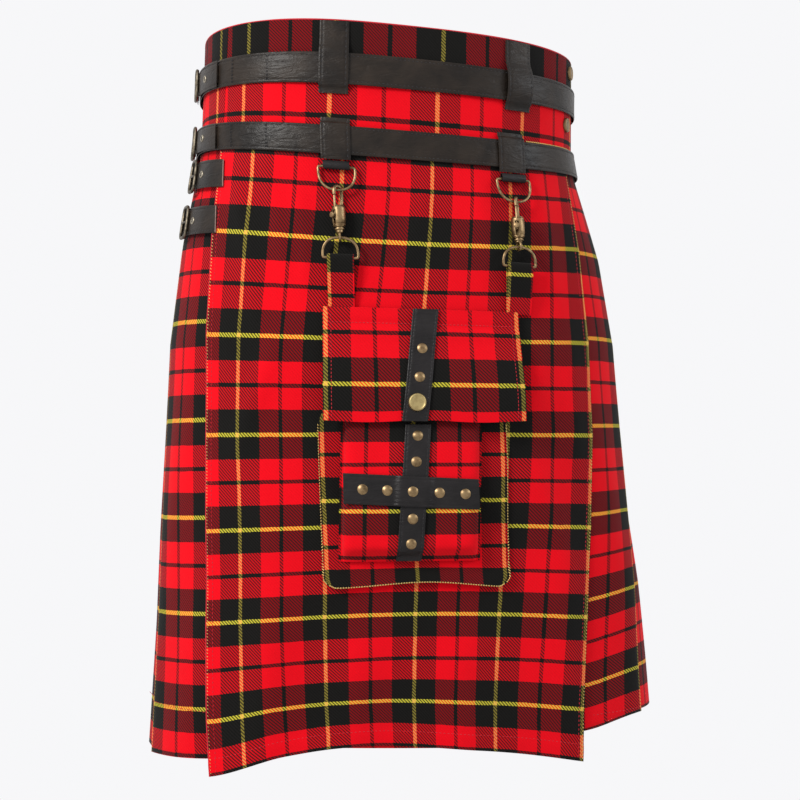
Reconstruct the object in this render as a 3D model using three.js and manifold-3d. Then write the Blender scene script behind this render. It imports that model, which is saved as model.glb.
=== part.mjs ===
// A checked wrap kilt with two leather belts and a clip-on pouch, worn form, hollow inside.
// Millimetres, +Z up. The front faces -Y. The origin is the waist centre at the upper belt.
import * as THREE from 'three';
import { mergeVertices } from 'three/addons/utils/BufferGeometryUtils.js';
import Module from 'manifold-3d';

const wasm = await Module();
wasm.setup();

// Driving dimensions
const CLOTH = 1.2;
const PLEAT_CLOTH = 1.0;
const SEAM_GAP = 0.3;
const RIM_Z = 39;
const YOKE_BOTTOM_Z = -56;
const SECTION_POWER = 2.6;
const BELTS = { upper: { z: -3, width: 27.5 }, lower: { z: -65, width: 25 } };
const BELT_THICK = 2.4;
const STRAP_LEATHER = 2;
const PLEATS_A_SIDE = 6;
const PLEAT_DEPTH = 22;
const SIDE_PANEL_SHARE = { left: 0.215, right: 0.17 };
const BAG = { middle: 1, width: 160, top: -206, bottom: -444, out: 3.3, thick: 1.4 };
const FLAP = { middle: 10, width: 168, bottom: -302 };
const POUCH = { middle: 0.5, lean: 6, width: 112, top: -292, bottom: -420 };
const STRAP = { width: 22, thick: 1.9 };
const FLAP_STRAP = { topMiddle: 13, bottomMiddle: 0.5 };
const POUCH_STRAP = { topMiddle: 4, bottomMiddle: -7, top: -304.5 };
const CROSS = { z: -361, width: 26, middle: -3.5, fall: 0.05 };
const HANG_S = { left: -58, right: 95 };
const LOOP_WIDTH = 25;
const WIRE = 1.2;

// Offsets outward from the body line, in millimetres
const LAYER = { under: -2.3, inner: -0.1, cloth: 1.5, belt: 3.3, overBelt: 6.0 };

// Rows run down the garment. slant lifts the +X side, bowLeft and bowRight lift the far sides,
// dip lowers an apron's sides, apronLeft and apronRight are its edges' x from the section's middle.
const ROW_NAMES = [
  'z', 'half', 'front', 'back', 'shift', 'slant', 'bowLeft', 'bowRight', 'dip', 'apronLeft', 'apronRight',
];
const ROWS = [
  [39, 166, 130, 118, -8, -11, -7, 0, 0, -150, 148],
  [0, 166.4, 131.6, 121.3, -8.4, -10.2, -5, 3, 0, -150, 148],
  [-56, 167, 134, 126, -9, -9, 6, 8, 0, -150, 148],
  [-80, 170, 135, 130, -8, -8, 8, 9, 2, -153, 151],
  [-152, 188, 140, 142, -4, -5, 4, 3, 8, -164, 156],
  [-231, 199, 143, 152, -2, -1, 1, 0, 5, -170, 162],
  [-311, 203, 144, 158, 0, 2, 0, 0, 0, -171, 164],
  [-389, 208, 143, 162, 3, 3, 0, 0, -7, -172, 159],
  [-466, 213, 141, 166, 7, 3, 0, 0, -14, -174, 151],
  [-541, 217, 138, 170, 9, 1, 0, 0, -23, -172, 145],
  [-580, 219, 136, 172, 10, -1, 0, 0, -33, -170, 144],
].map((row) => Object.fromEntries(ROW_NAMES.map((name, k) => [name, row[k]])));

function rowAt(z) {
  const last = ROWS.length - 1;
  let k = 0;
  while (k < last - 1 && z < ROWS[k + 1].z) k += 1;
  const a = ROWS[k];
  const b = ROWS[k + 1];
  const t = (z - a.z) / (b.z - a.z);
  const row = {};
  for (const name of Object.keys(a)) row[name] = a[name] + (b[name] - a[name]) * t;
  return row;
}

// The plan section is a rounded box in polar form, angle 0 at the front and growing to +X.
function planPoint(row, angle) {
  const depth = Math.abs(angle) < Math.PI / 2 ? row.front : row.back;
  const across = Math.abs(Math.sin(angle)) / row.half;
  const along = Math.abs(Math.cos(angle)) / depth;
  const r = (across ** SECTION_POWER + along ** SECTION_POWER) ** (-1 / SECTION_POWER);
  return new THREE.Vector2(r * Math.sin(angle), -r * Math.cos(angle));
}

const SECTION_STEPS = 360;
const sections = new Map();
function sectionAt(z) {
  const key = z.toFixed(3);
  if (!sections.has(key)) {
    const row = rowAt(z);
    const arc = [0];
    let last = planPoint(row, 0);
    for (let k = 1; k <= SECTION_STEPS; k += 1) {
      const next = planPoint(row, (k * Math.PI) / SECTION_STEPS);
      arc.push(arc[k - 1] + next.distanceTo(last));
      last = next;
    }
    sections.set(key, { row, arc, half: arc[SECTION_STEPS] });
  }
  return sections.get(key);
}

function angleOf(section, s) {
  const want = Math.min(Math.abs(s), section.half);
  let low = 0;
  let high = SECTION_STEPS;
  while (high - low > 1) {
    const middle = (low + high) >> 1;
    if (section.arc[middle] <= want) low = middle;
    else high = middle;
  }
  const part = (want - section.arc[low]) / (section.arc[high] - section.arc[low]);
  return (Math.sign(s) || 1) * ((low + part) * Math.PI) / SECTION_STEPS;
}

function arcOfX(z, x) {
  const { row, arc } = sectionAt(z);
  let k = 0;
  while (k < SECTION_STEPS / 2 && planPoint(row, (k * Math.PI) / SECTION_STEPS).x < Math.abs(x)) k += 1;
  return Math.sign(x) * arc[k];
}

// A point at arc length s from the centre front, on the section of height z, moved out.
function place(s, z, out, lift = 0) {
  const section = sectionAt(z);
  const { row } = section;
  const angle = angleOf(section, s);
  const p = planPoint(row, angle);
  const step = 0.004;
  const tangent = planPoint(row, angle + step).sub(planPoint(row, angle - step)).normalize();
  const x = p.x + tangent.y * out;
  const y = p.y - tangent.x * out;
  const share = p.x / row.half;
  const rise = row.slant * share + (share < 0 ? row.bowLeft : row.bowRight) * Math.abs(share) ** 3;
  return new THREE.Vector3(x + row.shift, y, z + rise + lift);
}

const apronDip = (s, z) => {
  const { row } = sectionAt(z);
  const x = planPoint(row, angleOf(sectionAt(z), s)).x;
  return row.dip * (x / row.half) ** 2;
};

// Mesh helpers
const colours = {
  cloth: [0xb3122a, 0.85, 0], leather: [0x2a2422, 0.45, 0], brass: [0x7d6a4c, 0.35, 1],
  silver: [0xb9b3a8, 0.3, 1],
};
const kilt = new THREE.Group();

function addPart(name, geometry, kind) {
  const [color, roughness, metalness] = colours[kind];
  const material = new THREE.MeshStandardMaterial({ color, roughness, metalness });
  const mesh = new THREE.Mesh(geometry, material);
  mesh.name = name;
  kilt.add(mesh);
  return mesh;
}

function geometryOf(points, triangles) {
  let volume = 0;
  const scratch = new THREE.Vector3();
  for (const [a, b, c] of triangles) {
    volume += scratch.crossVectors(points[a], points[b]).dot(points[c]);
  }
  const index = triangles.flatMap(([a, b, c]) => (volume > 0 ? [a, b, c] : [a, c, b]));
  const geometry = new THREE.BufferGeometry();
  geometry.setAttribute('position', new THREE.Float32BufferAttribute(points.flatMap((p) => p.toArray()), 3));
  geometry.setIndex(index);
  geometry.computeVertexNormals();
  return geometry;
}

// A wall from rows of outer and inner points, grid[row][column] = [outer, inner].
function wall(grid, closed = false) {
  const rows = grid.length;
  const columns = grid[0].length;
  const points = [];
  const triangles = [];
  for (const row of grid) for (const pair of row) points.push(pair[0], pair[1]);
  const id = (j, i, side) => (j * columns + (i % columns)) * 2 + side;
  const quad = (a, b, c, d) => triangles.push([a, b, c], [a, c, d]);
  const spans = closed ? columns : columns - 1;
  for (let i = 0; i < spans; i += 1) {
    for (let j = 0; j < rows - 1; j += 1) {
      quad(id(j, i, 0), id(j, i + 1, 0), id(j + 1, i + 1, 0), id(j + 1, i, 0));
      quad(id(j, i, 1), id(j + 1, i, 1), id(j + 1, i + 1, 1), id(j, i + 1, 1));
    }
    quad(id(0, i, 0), id(0, i, 1), id(0, i + 1, 1), id(0, i + 1, 0));
    quad(id(rows - 1, i, 0), id(rows - 1, i + 1, 0), id(rows - 1, i + 1, 1), id(rows - 1, i, 1));
  }
  if (!closed) {
    for (let j = 0; j < rows - 1; j += 1) {
      const e = columns - 1;
      quad(id(j, 0, 0), id(j + 1, 0, 0), id(j + 1, 0, 1), id(j, 0, 1));
      quad(id(j, e, 0), id(j, e, 1), id(j + 1, e, 1), id(j + 1, e, 0));
    }
  }
  return geometryOf(points, triangles);
}

const spread = (from, to, count) => Array.from({ length: count + 1 }, (_, k) => from + ((to - from) * k) / count);

// A patch that follows the body line: heights down, arc lengths across.
function patch(heights, left, right, columns, offset, thick, lift = () => 0) {
  return wall(heights.map((z) => spread(left(z), right(z), columns).map((s) => {
    const out = offset(s, z);
    return [place(s, z, out + thick, lift(s, z)), place(s, z, out, lift(s, z))];
  })));
}

// The apron hangs in front, its left corner swinging forward at the hem.
const apronLeft = (z) => arcOfX(z, rowAt(z).apronLeft);
const apronRight = (z) => arcOfX(z, rowAt(z).apronRight);
const APRON_HEIGHTS = ROWS.slice(2).map((row) => row.z);
const smooth = (t) => {
  const c = Math.min(1, Math.max(0, t));
  return c * c * (3 - 2 * c);
};
const CORNER_SWING = { reach: 70, start: -420, out: 9 };
function apronOffset(s, z) {
  const near = smooth(1 - (s - apronLeft(z)) / CORNER_SWING.reach);
  const low = smooth((CORNER_SWING.start - z) / 150);
  return LAYER.cloth + CORNER_SWING.out * near * low;
}

function frontApron() {
  return patch(APRON_HEIGHTS, apronLeft, apronRight, 24, apronOffset, CLOTH, apronDip);
}

// Half of the pleated back: a side panel, then knife pleats whose folds point to the back.
const PLEAT_ROWS = [
  { z: -56.3, low: -1.7, high: 2.2, lift: 0 },
  { z: -80, low: -1.7, high: 2.2, lift: 0 },
  { z: -152, low: -1.7, high: 3.4, lift: 0 },
  { z: -268, low: -1.7, high: 4.6, lift: 3 },
  { z: -389, low: -1.7, high: 6.5, lift: 8 },
  { z: -488, low: -1.7, high: 8.5, lift: 13 },
  { z: -580, low: -1.7, high: 10.5, lift: 17 },
];
const FOLD = 0.95;
const TUCK = 14;
const BACK_ROOM = 4;
const pleatStart = (side, z) => Math.abs(side < 0 ? apronLeft(z) : apronRight(z)) - TUCK;

// The hidden front layer of the wrap lies in line with the side panels' front edges.
function underApron() {
  const heights = [RIM_Z - 2, ...PLEAT_ROWS.map((row) => row.z)];
  const left = (z) => -pleatStart(-1, z) + 2 * SEAM_GAP;
  const right = (z) => pleatStart(1, z) - 2 * SEAM_GAP;
  return patch(heights, left, right, 20, () => LAYER.under, CLOTH);
}

function pleatPath(section, start, row, share) {
  const end = section.half - BACK_ROOM;
  const sidePanel = (end - start) * share;
  const step = (end - start - sidePanel) / PLEATS_A_SIDE;
  const path = [[start, row.low]];
  let from = start;
  const tuckUnder = (fold) => {
    const under = fold - PLEAT_DEPTH;
    path.push([under + FOLD, row.low + 2 * FOLD], [under, row.low + FOLD], [under + FOLD, row.low]);
    return under;
  };
  for (let k = 0; k <= PLEATS_A_SIDE; k += 1) {
    const fold = start + sidePanel + step * k;
    for (const t of k === 0 ? [0.2, 0.4, 0.6, 0.8] : [0.35, 0.7]) {
      path.push([from + (fold - from) * t, row.low + (row.high - row.low) * t]);
    }
    path.push([fold - FOLD, row.high], [fold, row.high - FOLD], [fold - FOLD, row.high - 2 * FOLD]);
    from = tuckUnder(fold);
  }
  path.push([section.half - SEAM_GAP / 2, row.low]);
  return path;
}

// Unit normal of a plan path at point k, lengthened so that the wall keeps its thickness.
function miter(path, k) {
  const [s, out] = path[k];
  const [s0, out0] = path[Math.max(0, k - 1)];
  const [s1, out1] = path[Math.min(path.length - 1, k + 1)];
  const before = new THREE.Vector2(s - s0, out - out0).normalize();
  const after = new THREE.Vector2(s1 - s, out1 - out).normalize();
  if (k === 0) before.copy(after);
  if (k === path.length - 1) after.copy(before);
  const normal = new THREE.Vector2(-(before.y + after.y), before.x + after.x).normalize();
  const square = -normal.x * before.y + normal.y * before.x;
  return normal.multiplyScalar(1 / Math.max(0.7, square));
}

function pleatedHalf(side) {
  const share = side < 0 ? SIDE_PANEL_SHARE.left : SIDE_PANEL_SHARE.right;
  return wall(PLEAT_ROWS.map((row) => {
    const section = sectionAt(row.z);
    const path = pleatPath(section, pleatStart(side, row.z), row, share);
    return path.map(([s, out], k) => {
      const normal = miter(path, k).multiplyScalar(PLEAT_CLOTH / 2);
      const x = planPoint(section.row, angleOf(section, s)).x;
      const lift = (side * row.lift * x) / section.row.half;
      return [1, -1].map((way) => place(side * (s + normal.x * way), row.z, out + normal.y * way, lift));
    });
  }));
}

// The yoke's front part laps over the back part at the right hip and meets it at the left.
const YOKE_HEIGHTS = [RIM_Z, 10, -22, YOKE_BOTTOM_Z + SEAM_GAP];
const YOKE_LEFT = -0.34;
const YOKE_RIGHT = 0.46;
const LAP = 24;
function yokeFront() {
  const left = (z) => YOKE_LEFT * sectionAt(z).half;
  const right = (z) => YOKE_RIGHT * sectionAt(z).half;
  return patch(YOKE_HEIGHTS, left, right, 36, () => LAYER.cloth, CLOTH);
}

function yokeBack() {
  return wall(YOKE_HEIGHTS.map((z) => {
    const { half } = sectionAt(z);
    const end = YOKE_RIGHT * half;
    return spread(end - LAP, (2 + YOKE_LEFT) * half - SEAM_GAP, 60).map((s) => {
      const wrapped = s > half ? s - 2 * half : s;
      const rise = smooth((s - end - 1) / 10);
      const out = LAYER.inner + (LAYER.cloth - LAYER.inner) * rise;
      return [place(wrapped, z, out + CLOTH), place(wrapped, z, out)];
    });
  }));
}

// Belts run all round; the tongue is a second layer on the left hip, under the buckle.
const ROUND_COLUMNS = 80;
function belt({ z, width }) {
  return wall([z + width / 2, z - width / 2].map((height) => {
    const { half } = sectionAt(height);
    return spread(-half, half, ROUND_COLUMNS).slice(0, -1).map((s) => [
      place(s, height, LAYER.belt + BELT_THICK), place(s, height, LAYER.belt),
    ]);
  }), true);
}

const TONGUE = { front: -172, back: -262, inset: 0.5 };
function tongue({ z, width }) {
  const heights = [z + width / 2 - TONGUE.inset, z - width / 2 + TONGUE.inset];
  return patch(heights, () => TONGUE.back, () => TONGUE.front, 12, () => LAYER.overBelt, STRAP_LEATHER);
}

// A tube through centres, round in section; its first cross direction follows the axis.
function tube(centres, axis, radius, sides, closed) {
  const count = centres.length;
  const points = [];
  const triangles = [];
  centres.forEach((centre, k) => {
    const next = centres[closed ? (k + 1) % count : Math.min(count - 1, k + 1)];
    const last = centres[closed ? (k + count - 1) % count : Math.max(0, k - 1)];
    const along = next.clone().sub(last).normalize();
    const other = along.clone().cross(axis).normalize();
    const first = other.clone().cross(along).normalize();
    for (let i = 0; i < sides; i += 1) {
      const turn = (i * 2 * Math.PI) / sides;
      points.push(centre.clone()
        .addScaledVector(first, radius * Math.cos(turn))
        .addScaledVector(other, radius * Math.sin(turn)));
    }
  });
  const id = (k, i) => (k % count) * sides + (i % sides);
  for (let k = 0; k < (closed ? count : count - 1); k += 1) {
    for (let i = 0; i < sides; i += 1) {
      triangles.push([id(k, i), id(k + 1, i), id(k + 1, i + 1)], [id(k, i), id(k + 1, i + 1), id(k, i + 1)]);
    }
  }
  if (!closed) {
    for (let i = 1; i < sides - 1; i += 1) {
      triangles.push([id(0, 0), id(0, i), id(0, i + 1)], [id(count - 1, 0), id(count - 1, i + 1), id(count - 1, i)]);
    }
  }
  return geometryOf(points, triangles);
}

function toManifold(geometry) {
  const plain = new THREE.BufferGeometry();
  plain.setAttribute('position', geometry.getAttribute('position').clone());
  if (geometry.index) plain.setIndex(geometry.index.clone());
  const merged = mergeVertices(plain, 1e-4);
  return new wasm.Manifold(new wasm.Mesh({
    numProp: 3,
    vertProperties: new Float32Array(merged.getAttribute('position').array),
    triVerts: new Uint32Array(merged.index.array),
  }));
}

function fromManifold(solid) {
  const mesh = solid.getMesh();
  const geometry = new THREE.BufferGeometry();
  geometry.setAttribute('position', new THREE.Float32BufferAttribute(mesh.vertProperties, 3));
  geometry.setIndex([...mesh.triVerts]);
  return geometry;
}

const join = (...geometries) => fromManifold(geometries.map(toManifold).reduce((a, b) => a.add(b)));

// The outward direction of the body line at s, level.
const outward = (s, z) => place(s, z, 10).sub(place(s, z, 0)).setZ(0).normalize();

// A buckle's frame follows the hip, with the pin across its middle.
const BUCKLE = { across: 19, high: 30, wire: 1.4, out: 9.6, pin: 1, square: 0.45, s: -232 };
function buckle(s, z, out = BUCKLE.out, high = BUCKLE.high) {
  const frame = Array.from({ length: 16 }, (_, k) => {
    const turn = (k * 2 * Math.PI) / 16;
    const soft = (v) => Math.sign(v) * Math.abs(v) ** BUCKLE.square;
    return place(s + soft(Math.cos(turn)) * BUCKLE.across / 2, z + soft(Math.sin(turn)) * high / 2, out);
  });
  const pin = [-0.5, 0, 0.5].map((t) => place(s + t * BUCKLE.across, z, out));
  const axis = outward(s, z);
  return join(tube(frame, axis, BUCKLE.wire, 6, true), tube(pin, axis, BUCKLE.pin, 6, false));
}

// A leather loop over a belt: flat feet on the cloth, bowed clear of the belt.
function loopOver(s, stops, width = LOOP_WIDTH) {
  return wall(stops.map(({ z, out }) => spread(s - width / 2, s + width / 2, 3).map((t) => [
    place(t, z, out + CLOTH), place(t, z, out),
  ])));
}

const upperLoop = (bow) => [
  { z: 38, out: 3.1 }, { z: 19, out: 3.4 }, { z: 13.5, out: 6.4 }, { z: 4, out: 6.7 + bow },
  { z: -8, out: 6.7 + bow }, { z: -17.6, out: 6.4 }, { z: -20.6, out: 3.6 }, { z: -25, out: 3.1 },
];
const LOWER_LOOP = [
  { z: -46, out: 3.1 }, { z: -49.5, out: 3.6 }, { z: -51.5, out: 6.3 }, { z: -65, out: 6.8 },
  { z: -78.5, out: 6.4 }, { z: -82, out: 5.5 },
];
const BACK_LOOP = [
  { z: 38, out: 3.1 }, { z: 19, out: 3.4 }, { z: 13.5, out: 6.4 }, { z: -17.6, out: 6.4 },
  { z: -21.5, out: 3.6 }, { z: -46, out: 3.6 }, { z: -51.5, out: 6.6 }, { z: -78.5, out: 6.6 },
  { z: -82, out: 4.3 }, { z: -90, out: 4.0 },
];

// A folded strap in the plane of out and height, closed on itself: its ends stay open.
// stops give the height, middle and half thickness of the fold from top to bottom.
function foldedStrap(s, width, stops, thick) {
  const loopOf = (inset) => {
    const front = stops.map(({ z, out, half }) => [z, out + half - inset]);
    const back = stops.map(({ z, out, half }) => [z, out - half + inset]).reverse();
    const top = stops[0];
    const bottom = stops[stops.length - 1];
    return [
      [top.z + top.half - inset, top.out], ...front, [bottom.z - bottom.half + inset, bottom.out], ...back,
    ];
  };
  const outer = loopOf(0);
  const inner = loopOf(thick);
  return wall(spread(s - width / 2, s + width / 2, 2).map((t) => outer.map((point, k) => [
    place(t, point[0], point[1]), place(t, inner[k][0], inner[k][1]),
  ])), true);
}

const RING_STEPS = 22;
const WIRE_SIDES = 6;

// A wire ring in the plane of s and height. A power near 0 squares that side, 1 makes it round.
function wireRing(s, { width, top, bottom, outTop, outBottom, wire, topPower, bottomPower }) {
  const middle = (top + bottom) / 2;
  const soft = (v, power) => Math.sign(v) * Math.abs(v) ** power;
  const centres = Array.from({ length: RING_STEPS }, (_, k) => {
    const turn = (k * 2 * Math.PI) / RING_STEPS;
    const power = Math.sin(turn) > 0 ? topPower : bottomPower;
    const across = (soft(Math.cos(turn), power) * width) / 2;
    const z = middle + (soft(Math.sin(turn), power) * (top - bottom)) / 2;
    const share = (top - z) / (top - bottom);
    return place(s + across, z, outTop + (outBottom - outTop) * share);
  });
  return tube(centres, outward(s, middle), wire, WIRE_SIDES, true);
}

// Bolt snap hook in its own frame: gate side +X, up +Z, the held bar at the origin.
const HOOK = {
  out: 9, wire: 1.5, bow: 4.2, legBottom: -15, barrel: 5.8, barrelTop: -13.5, barrelBottom: -31.5,
  bore: 1.45, boltAt: 4, rod: 1.05, rodTop: -4.4, rodBottom: -25, knobZ: -22, post: 2, clear: 0.5,
};
const EYE = { radius: 3.5, wire: 1.1, aboveBar: 0.8 };
const BAR_Z = -108.3;
const LOW_BAR_Z = -148.3;
const GATE_TURN = { left: Math.PI * 0.25, right: Math.PI * 0.3 };

function hookFrame(side) {
  const s = HANG_S[side];
  const top = place(s, BAR_Z, HOOK.out);
  const low = place(s, LOW_BAR_Z, HOOK.out);
  const up = top.clone().sub(low).normalize();
  const out = outward(s, BAR_Z);
  const along = new THREE.Vector3(0, 0, 1).cross(out).negate();
  const turn = GATE_TURN[side];
  const gate = along.clone().multiplyScalar(Math.cos(turn)).addScaledVector(out, Math.sin(turn));
  const normal = up.clone().cross(gate).normalize();
  gate.copy(normal.clone().cross(up));
  const matrix = new THREE.Matrix4().makeBasis(gate, normal, up).setPosition(top);
  return { matrix, eyeZ: EYE.aboveBar - top.distanceTo(low) };
}

function turned(profile, sides) {
  const points = profile.map(([r, z]) => new THREE.Vector2(r, z));
  return new THREE.LatheGeometry(points, sides).rotateX(Math.PI / 2);
}

function hookBody(side) {
  const { matrix, eyeZ } = hookFrame(side);
  const bowTop = HOOK.wire + WIRE + HOOK.clear;
  const bowMiddle = bowTop - HOOK.bow;
  const centres = [new THREE.Vector3(-HOOK.bow, 0, HOOK.legBottom), new THREE.Vector3(-HOOK.bow, 0, -8)];
  for (let k = 0; k <= 8; k += 1) {
    const turn = Math.PI - (k * Math.PI) / 8;
    centres.push(new THREE.Vector3(HOOK.bow * Math.cos(turn), 0, bowMiddle + HOOK.bow * Math.sin(turn)));
  }
  centres.push(new THREE.Vector3(HOOK.bow, 0, HOOK.rodTop + SEAM_GAP));
  const bow = tube(centres, new THREE.Vector3(0, 1, 0), HOOK.wire, 6, false);
  const barrel = turned([
    [0, HOOK.barrelBottom], [HOOK.barrel - 0.8, HOOK.barrelBottom], [HOOK.barrel, HOOK.barrelBottom + 0.8],
    [HOOK.barrel, HOOK.barrelTop - 0.8], [HOOK.barrel - 0.8, HOOK.barrelTop], [0, HOOK.barrelTop],
  ], 12);
  const swivel = turned([
    [0, eyeZ + EYE.radius - 0.2], [HOOK.post, eyeZ + EYE.radius - 0.2], [HOOK.post, -34.2],
    [3.4, -33.8], [3.4, -32.6], [HOOK.post, -32.2], [HOOK.post, HOOK.barrelBottom + 0.5],
    [0, HOOK.barrelBottom + 0.5],
  ], 10);
  const eye = new THREE.TorusGeometry(EYE.radius, EYE.wire, 6, 14);
  eye.rotateX(Math.PI / 2);
  eye.rotateZ(Math.PI / 2 - GATE_TURN[side]);
  eye.translate(0, 0, eyeZ);
  const bore = new THREE.CylinderGeometry(HOOK.bore, HOOK.bore, 40, 8).rotateX(Math.PI / 2);
  bore.translate(HOOK.boltAt, 0, HOOK.barrelBottom + 0.8 + 20);
  const slot = new THREE.BoxGeometry(6, 2.8, 13.5);
  slot.translate(HOOK.boltAt + 3, 0, HOOK.barrelBottom + 0.8 + 6.75);
  const whole = [barrel, swivel, eye].map(toManifold).reduce((a, b) => a.add(b));
  const cut = whole.subtract(toManifold(bore)).subtract(toManifold(slot)).add(toManifold(bow));
  return fromManifold(cut).applyMatrix4(matrix);
}

function hookBolt(side) {
  const rod = new THREE.CylinderGeometry(HOOK.rod, HOOK.rod, HOOK.rodTop - HOOK.rodBottom, 8);
  rod.rotateX(Math.PI / 2).translate(HOOK.boltAt, 0, (HOOK.rodTop + HOOK.rodBottom) / 2);
  const neck = new THREE.CylinderGeometry(1, 1, 3.4, 8).rotateZ(Math.PI / 2);
  neck.translate(HOOK.boltAt + 1.7, 0, HOOK.knobZ);
  const knob = new THREE.CylinderGeometry(2.2, 2.6, 1.8, 8).rotateZ(Math.PI / 2);
  knob.translate(HOOK.boltAt + 4, 0, HOOK.knobZ);
  return join(rod, neck, knob).applyMatrix4(hookFrame(side).matrix);
}

// The bag: back panel, flap over the pouch, pouch open at the top under the flap.
const bagSpan = ({ middle, width }) => [() => middle - width / 2, () => middle + width / 2];
const down = (z, top, bottom) => (top - z) / (top - bottom);
const pouchMiddle = (z) => POUCH.middle - POUCH.lean * down(z, POUCH.top, POUCH.bottom);
const pouchOut = (z) => {
  const fall = down(z, POUCH.top, POUCH.bottom);
  return 9.9 + 4.5 * smooth(0.25 + fall * 2) + 3.5 * smooth(fall * 1.4) - 11 * smooth((fall - 0.9) / 0.1);
};
const flapOut = (z) => BAG.out + BAG.thick + SEAM_GAP + 12.4 * smooth(down(z, BAG.top, FLAP.bottom) * 1.15);
const FLAP_HEIGHTS = spread(BAG.top, FLAP.bottom, 6);

function bagBack() {
  const [left, right] = bagSpan(BAG);
  return patch(spread(BAG.top, BAG.bottom, 5), left, right, 12, () => BAG.out, BAG.thick);
}

function bagFlap() {
  const [left, right] = bagSpan(FLAP);
  return patch(FLAP_HEIGHTS, left, right, 16, (s, z) => flapOut(z), CLOTH);
}

// Across the pouch: side seam, gusset, then the front, rounded at each corner.
const POUCH_BASE = BAG.out + BAG.thick + SEAM_GAP;
function pouchPath(z) {
  const depth = pouchOut(z) - POUCH_BASE;
  const half = POUCH.width / 2;
  const bend = Math.min(5, depth * 0.6);
  const side = [
    [-half - 4, 0.6], [-half, 0.6], [-half + 0.4, depth * 0.5],
    [-half + 0.4 + bend * 0.3, depth - bend * 0.3], [-half + 0.4 + bend, depth],
  ];
  const front = [-0.6, -0.3, 0, 0.3, 0.6].map((t) => [t * half, depth]);
  return [...side, ...front, ...side.map(([s, out]) => [-s, out]).reverse()];
}

function pouch() {
  return wall([...spread(POUCH.top, POUCH.bottom, 12)].map((z) => {
    const path = pouchPath(z);
    return path.map(([s, out], k) => {
      const normal = miter(path, k).multiplyScalar(CLOTH / 2);
      const at = [s + pouchMiddle(z), POUCH_BASE + out];
      return [1, -1].map((way) => place(at[0] + normal.x * way, z, at[1] + normal.y * way));
    });
  }));
}

// Leather straps lie on the pouch and flap, with small domed rivets through them.
const pouchStrapOut = (s, z) => pouchOut(z) + CLOTH / 2 + SEAM_GAP;
const flapStrapOut = (s, z) => flapOut(z) + CLOTH + SEAM_GAP;
const strapMiddle = ({ topMiddle, bottomMiddle }, top, bottom) => (z) => (
  topMiddle + (bottomMiddle - topMiddle) * down(z, top, bottom)
);
const flapStrapMiddle = strapMiddle(FLAP_STRAP, BAG.top, FLAP.bottom);
const pouchStrapMiddle = strapMiddle(POUCH_STRAP, POUCH_STRAP.top, POUCH.bottom);
const crossStrapOut = (s, z) => {
  const near = smooth((STRAP.width / 2 + 6 - Math.abs(s - pouchStrapMiddle(z))) / 5);
  return pouchStrapOut(s, z) + (STRAP.thick + SEAM_GAP) * near;
};
const strapSpan = (middle) => [(z) => middle(z) - STRAP.width / 2, (z) => middle(z) + STRAP.width / 2];
const POUCH_HEIGHTS = spread(POUCH.top, POUCH.bottom, 12);

function pouchStrap() {
  const heights = [POUCH_STRAP.top, ...POUCH_HEIGHTS.slice(2)];
  return patch(heights, ...strapSpan(pouchStrapMiddle), 4, pouchStrapOut, STRAP.thick);
}

function flapStrap() {
  return patch(FLAP_HEIGHTS, ...strapSpan(flapStrapMiddle), 4, flapStrapOut, STRAP.thick);
}

// The cross strap falls a little towards +X.
const crossFall = (s) => -CROSS.fall * (s - CROSS.middle);
function crossStrap() {
  const half = POUCH.width / 2;
  const heights = [CROSS.z + CROSS.width / 2, CROSS.z, CROSS.z - CROSS.width / 2];
  const ends = [() => CROSS.middle - half, () => CROSS.middle + half];
  return patch(heights, ...ends, 24, crossStrapOut, STRAP.thick, crossFall);
}

const DOME = [[0, 0], [1, 0], [0.96, 0.4], [0.6, 0.85], [0, 1]];
function stud(s, z, out, radius, height, sides = 8) {
  const surface = (ds, dz) => place(s + ds, z + dz, out(s + ds, z + dz));
  const up = surface(0, 1).sub(surface(0, -1));
  const across = surface(1, 0).sub(surface(-1, 0));
  const normal = across.cross(up).normalize();
  const geometry = turned(DOME.map(([r, h]) => [r * radius, h * height]), sides);
  const turn = new THREE.Quaternion().setFromUnitVectors(new THREE.Vector3(0, 0, 1), normal);
  const at = surface(0, 0).addScaledVector(normal, SEAM_GAP);
  return geometry.applyMatrix4(new THREE.Matrix4().compose(at, turn, new THREE.Vector3(1, 1, 1)));
}

// Assembly
addPart('front_apron', frontApron(), 'cloth');
addPart('under_apron', underApron(), 'cloth');
addPart('pleats_left', pleatedHalf(-1), 'cloth');
addPart('pleats_right', pleatedHalf(1), 'cloth');
addPart('yoke_front', yokeFront(), 'cloth');
addPart('yoke_back', yokeBack(), 'cloth');

for (const [name, size] of Object.entries(BELTS)) {
  addPart(`belt_${name}`, belt(size), 'leather');
  addPart(`belt_tongue_${name}`, tongue(size), 'leather');
  addPart(`belt_buckle_${name}`, buckle(BUCKLE.s, size.z), 'silver');
}

const UPPER_LOOPS = { left: { s: -60, bow: 0 }, right: { s: 102, bow: 2.5 } };
for (const [side, { s, bow }] of Object.entries(UPPER_LOOPS)) {
  addPart(`loop_upper_${side}`, loopOver(s, upperLoop(bow)), 'leather');
  addPart(`loop_back_${side}`, loopOver(side === 'left' ? -390 : 390, BACK_LOOP), 'leather');
}

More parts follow.
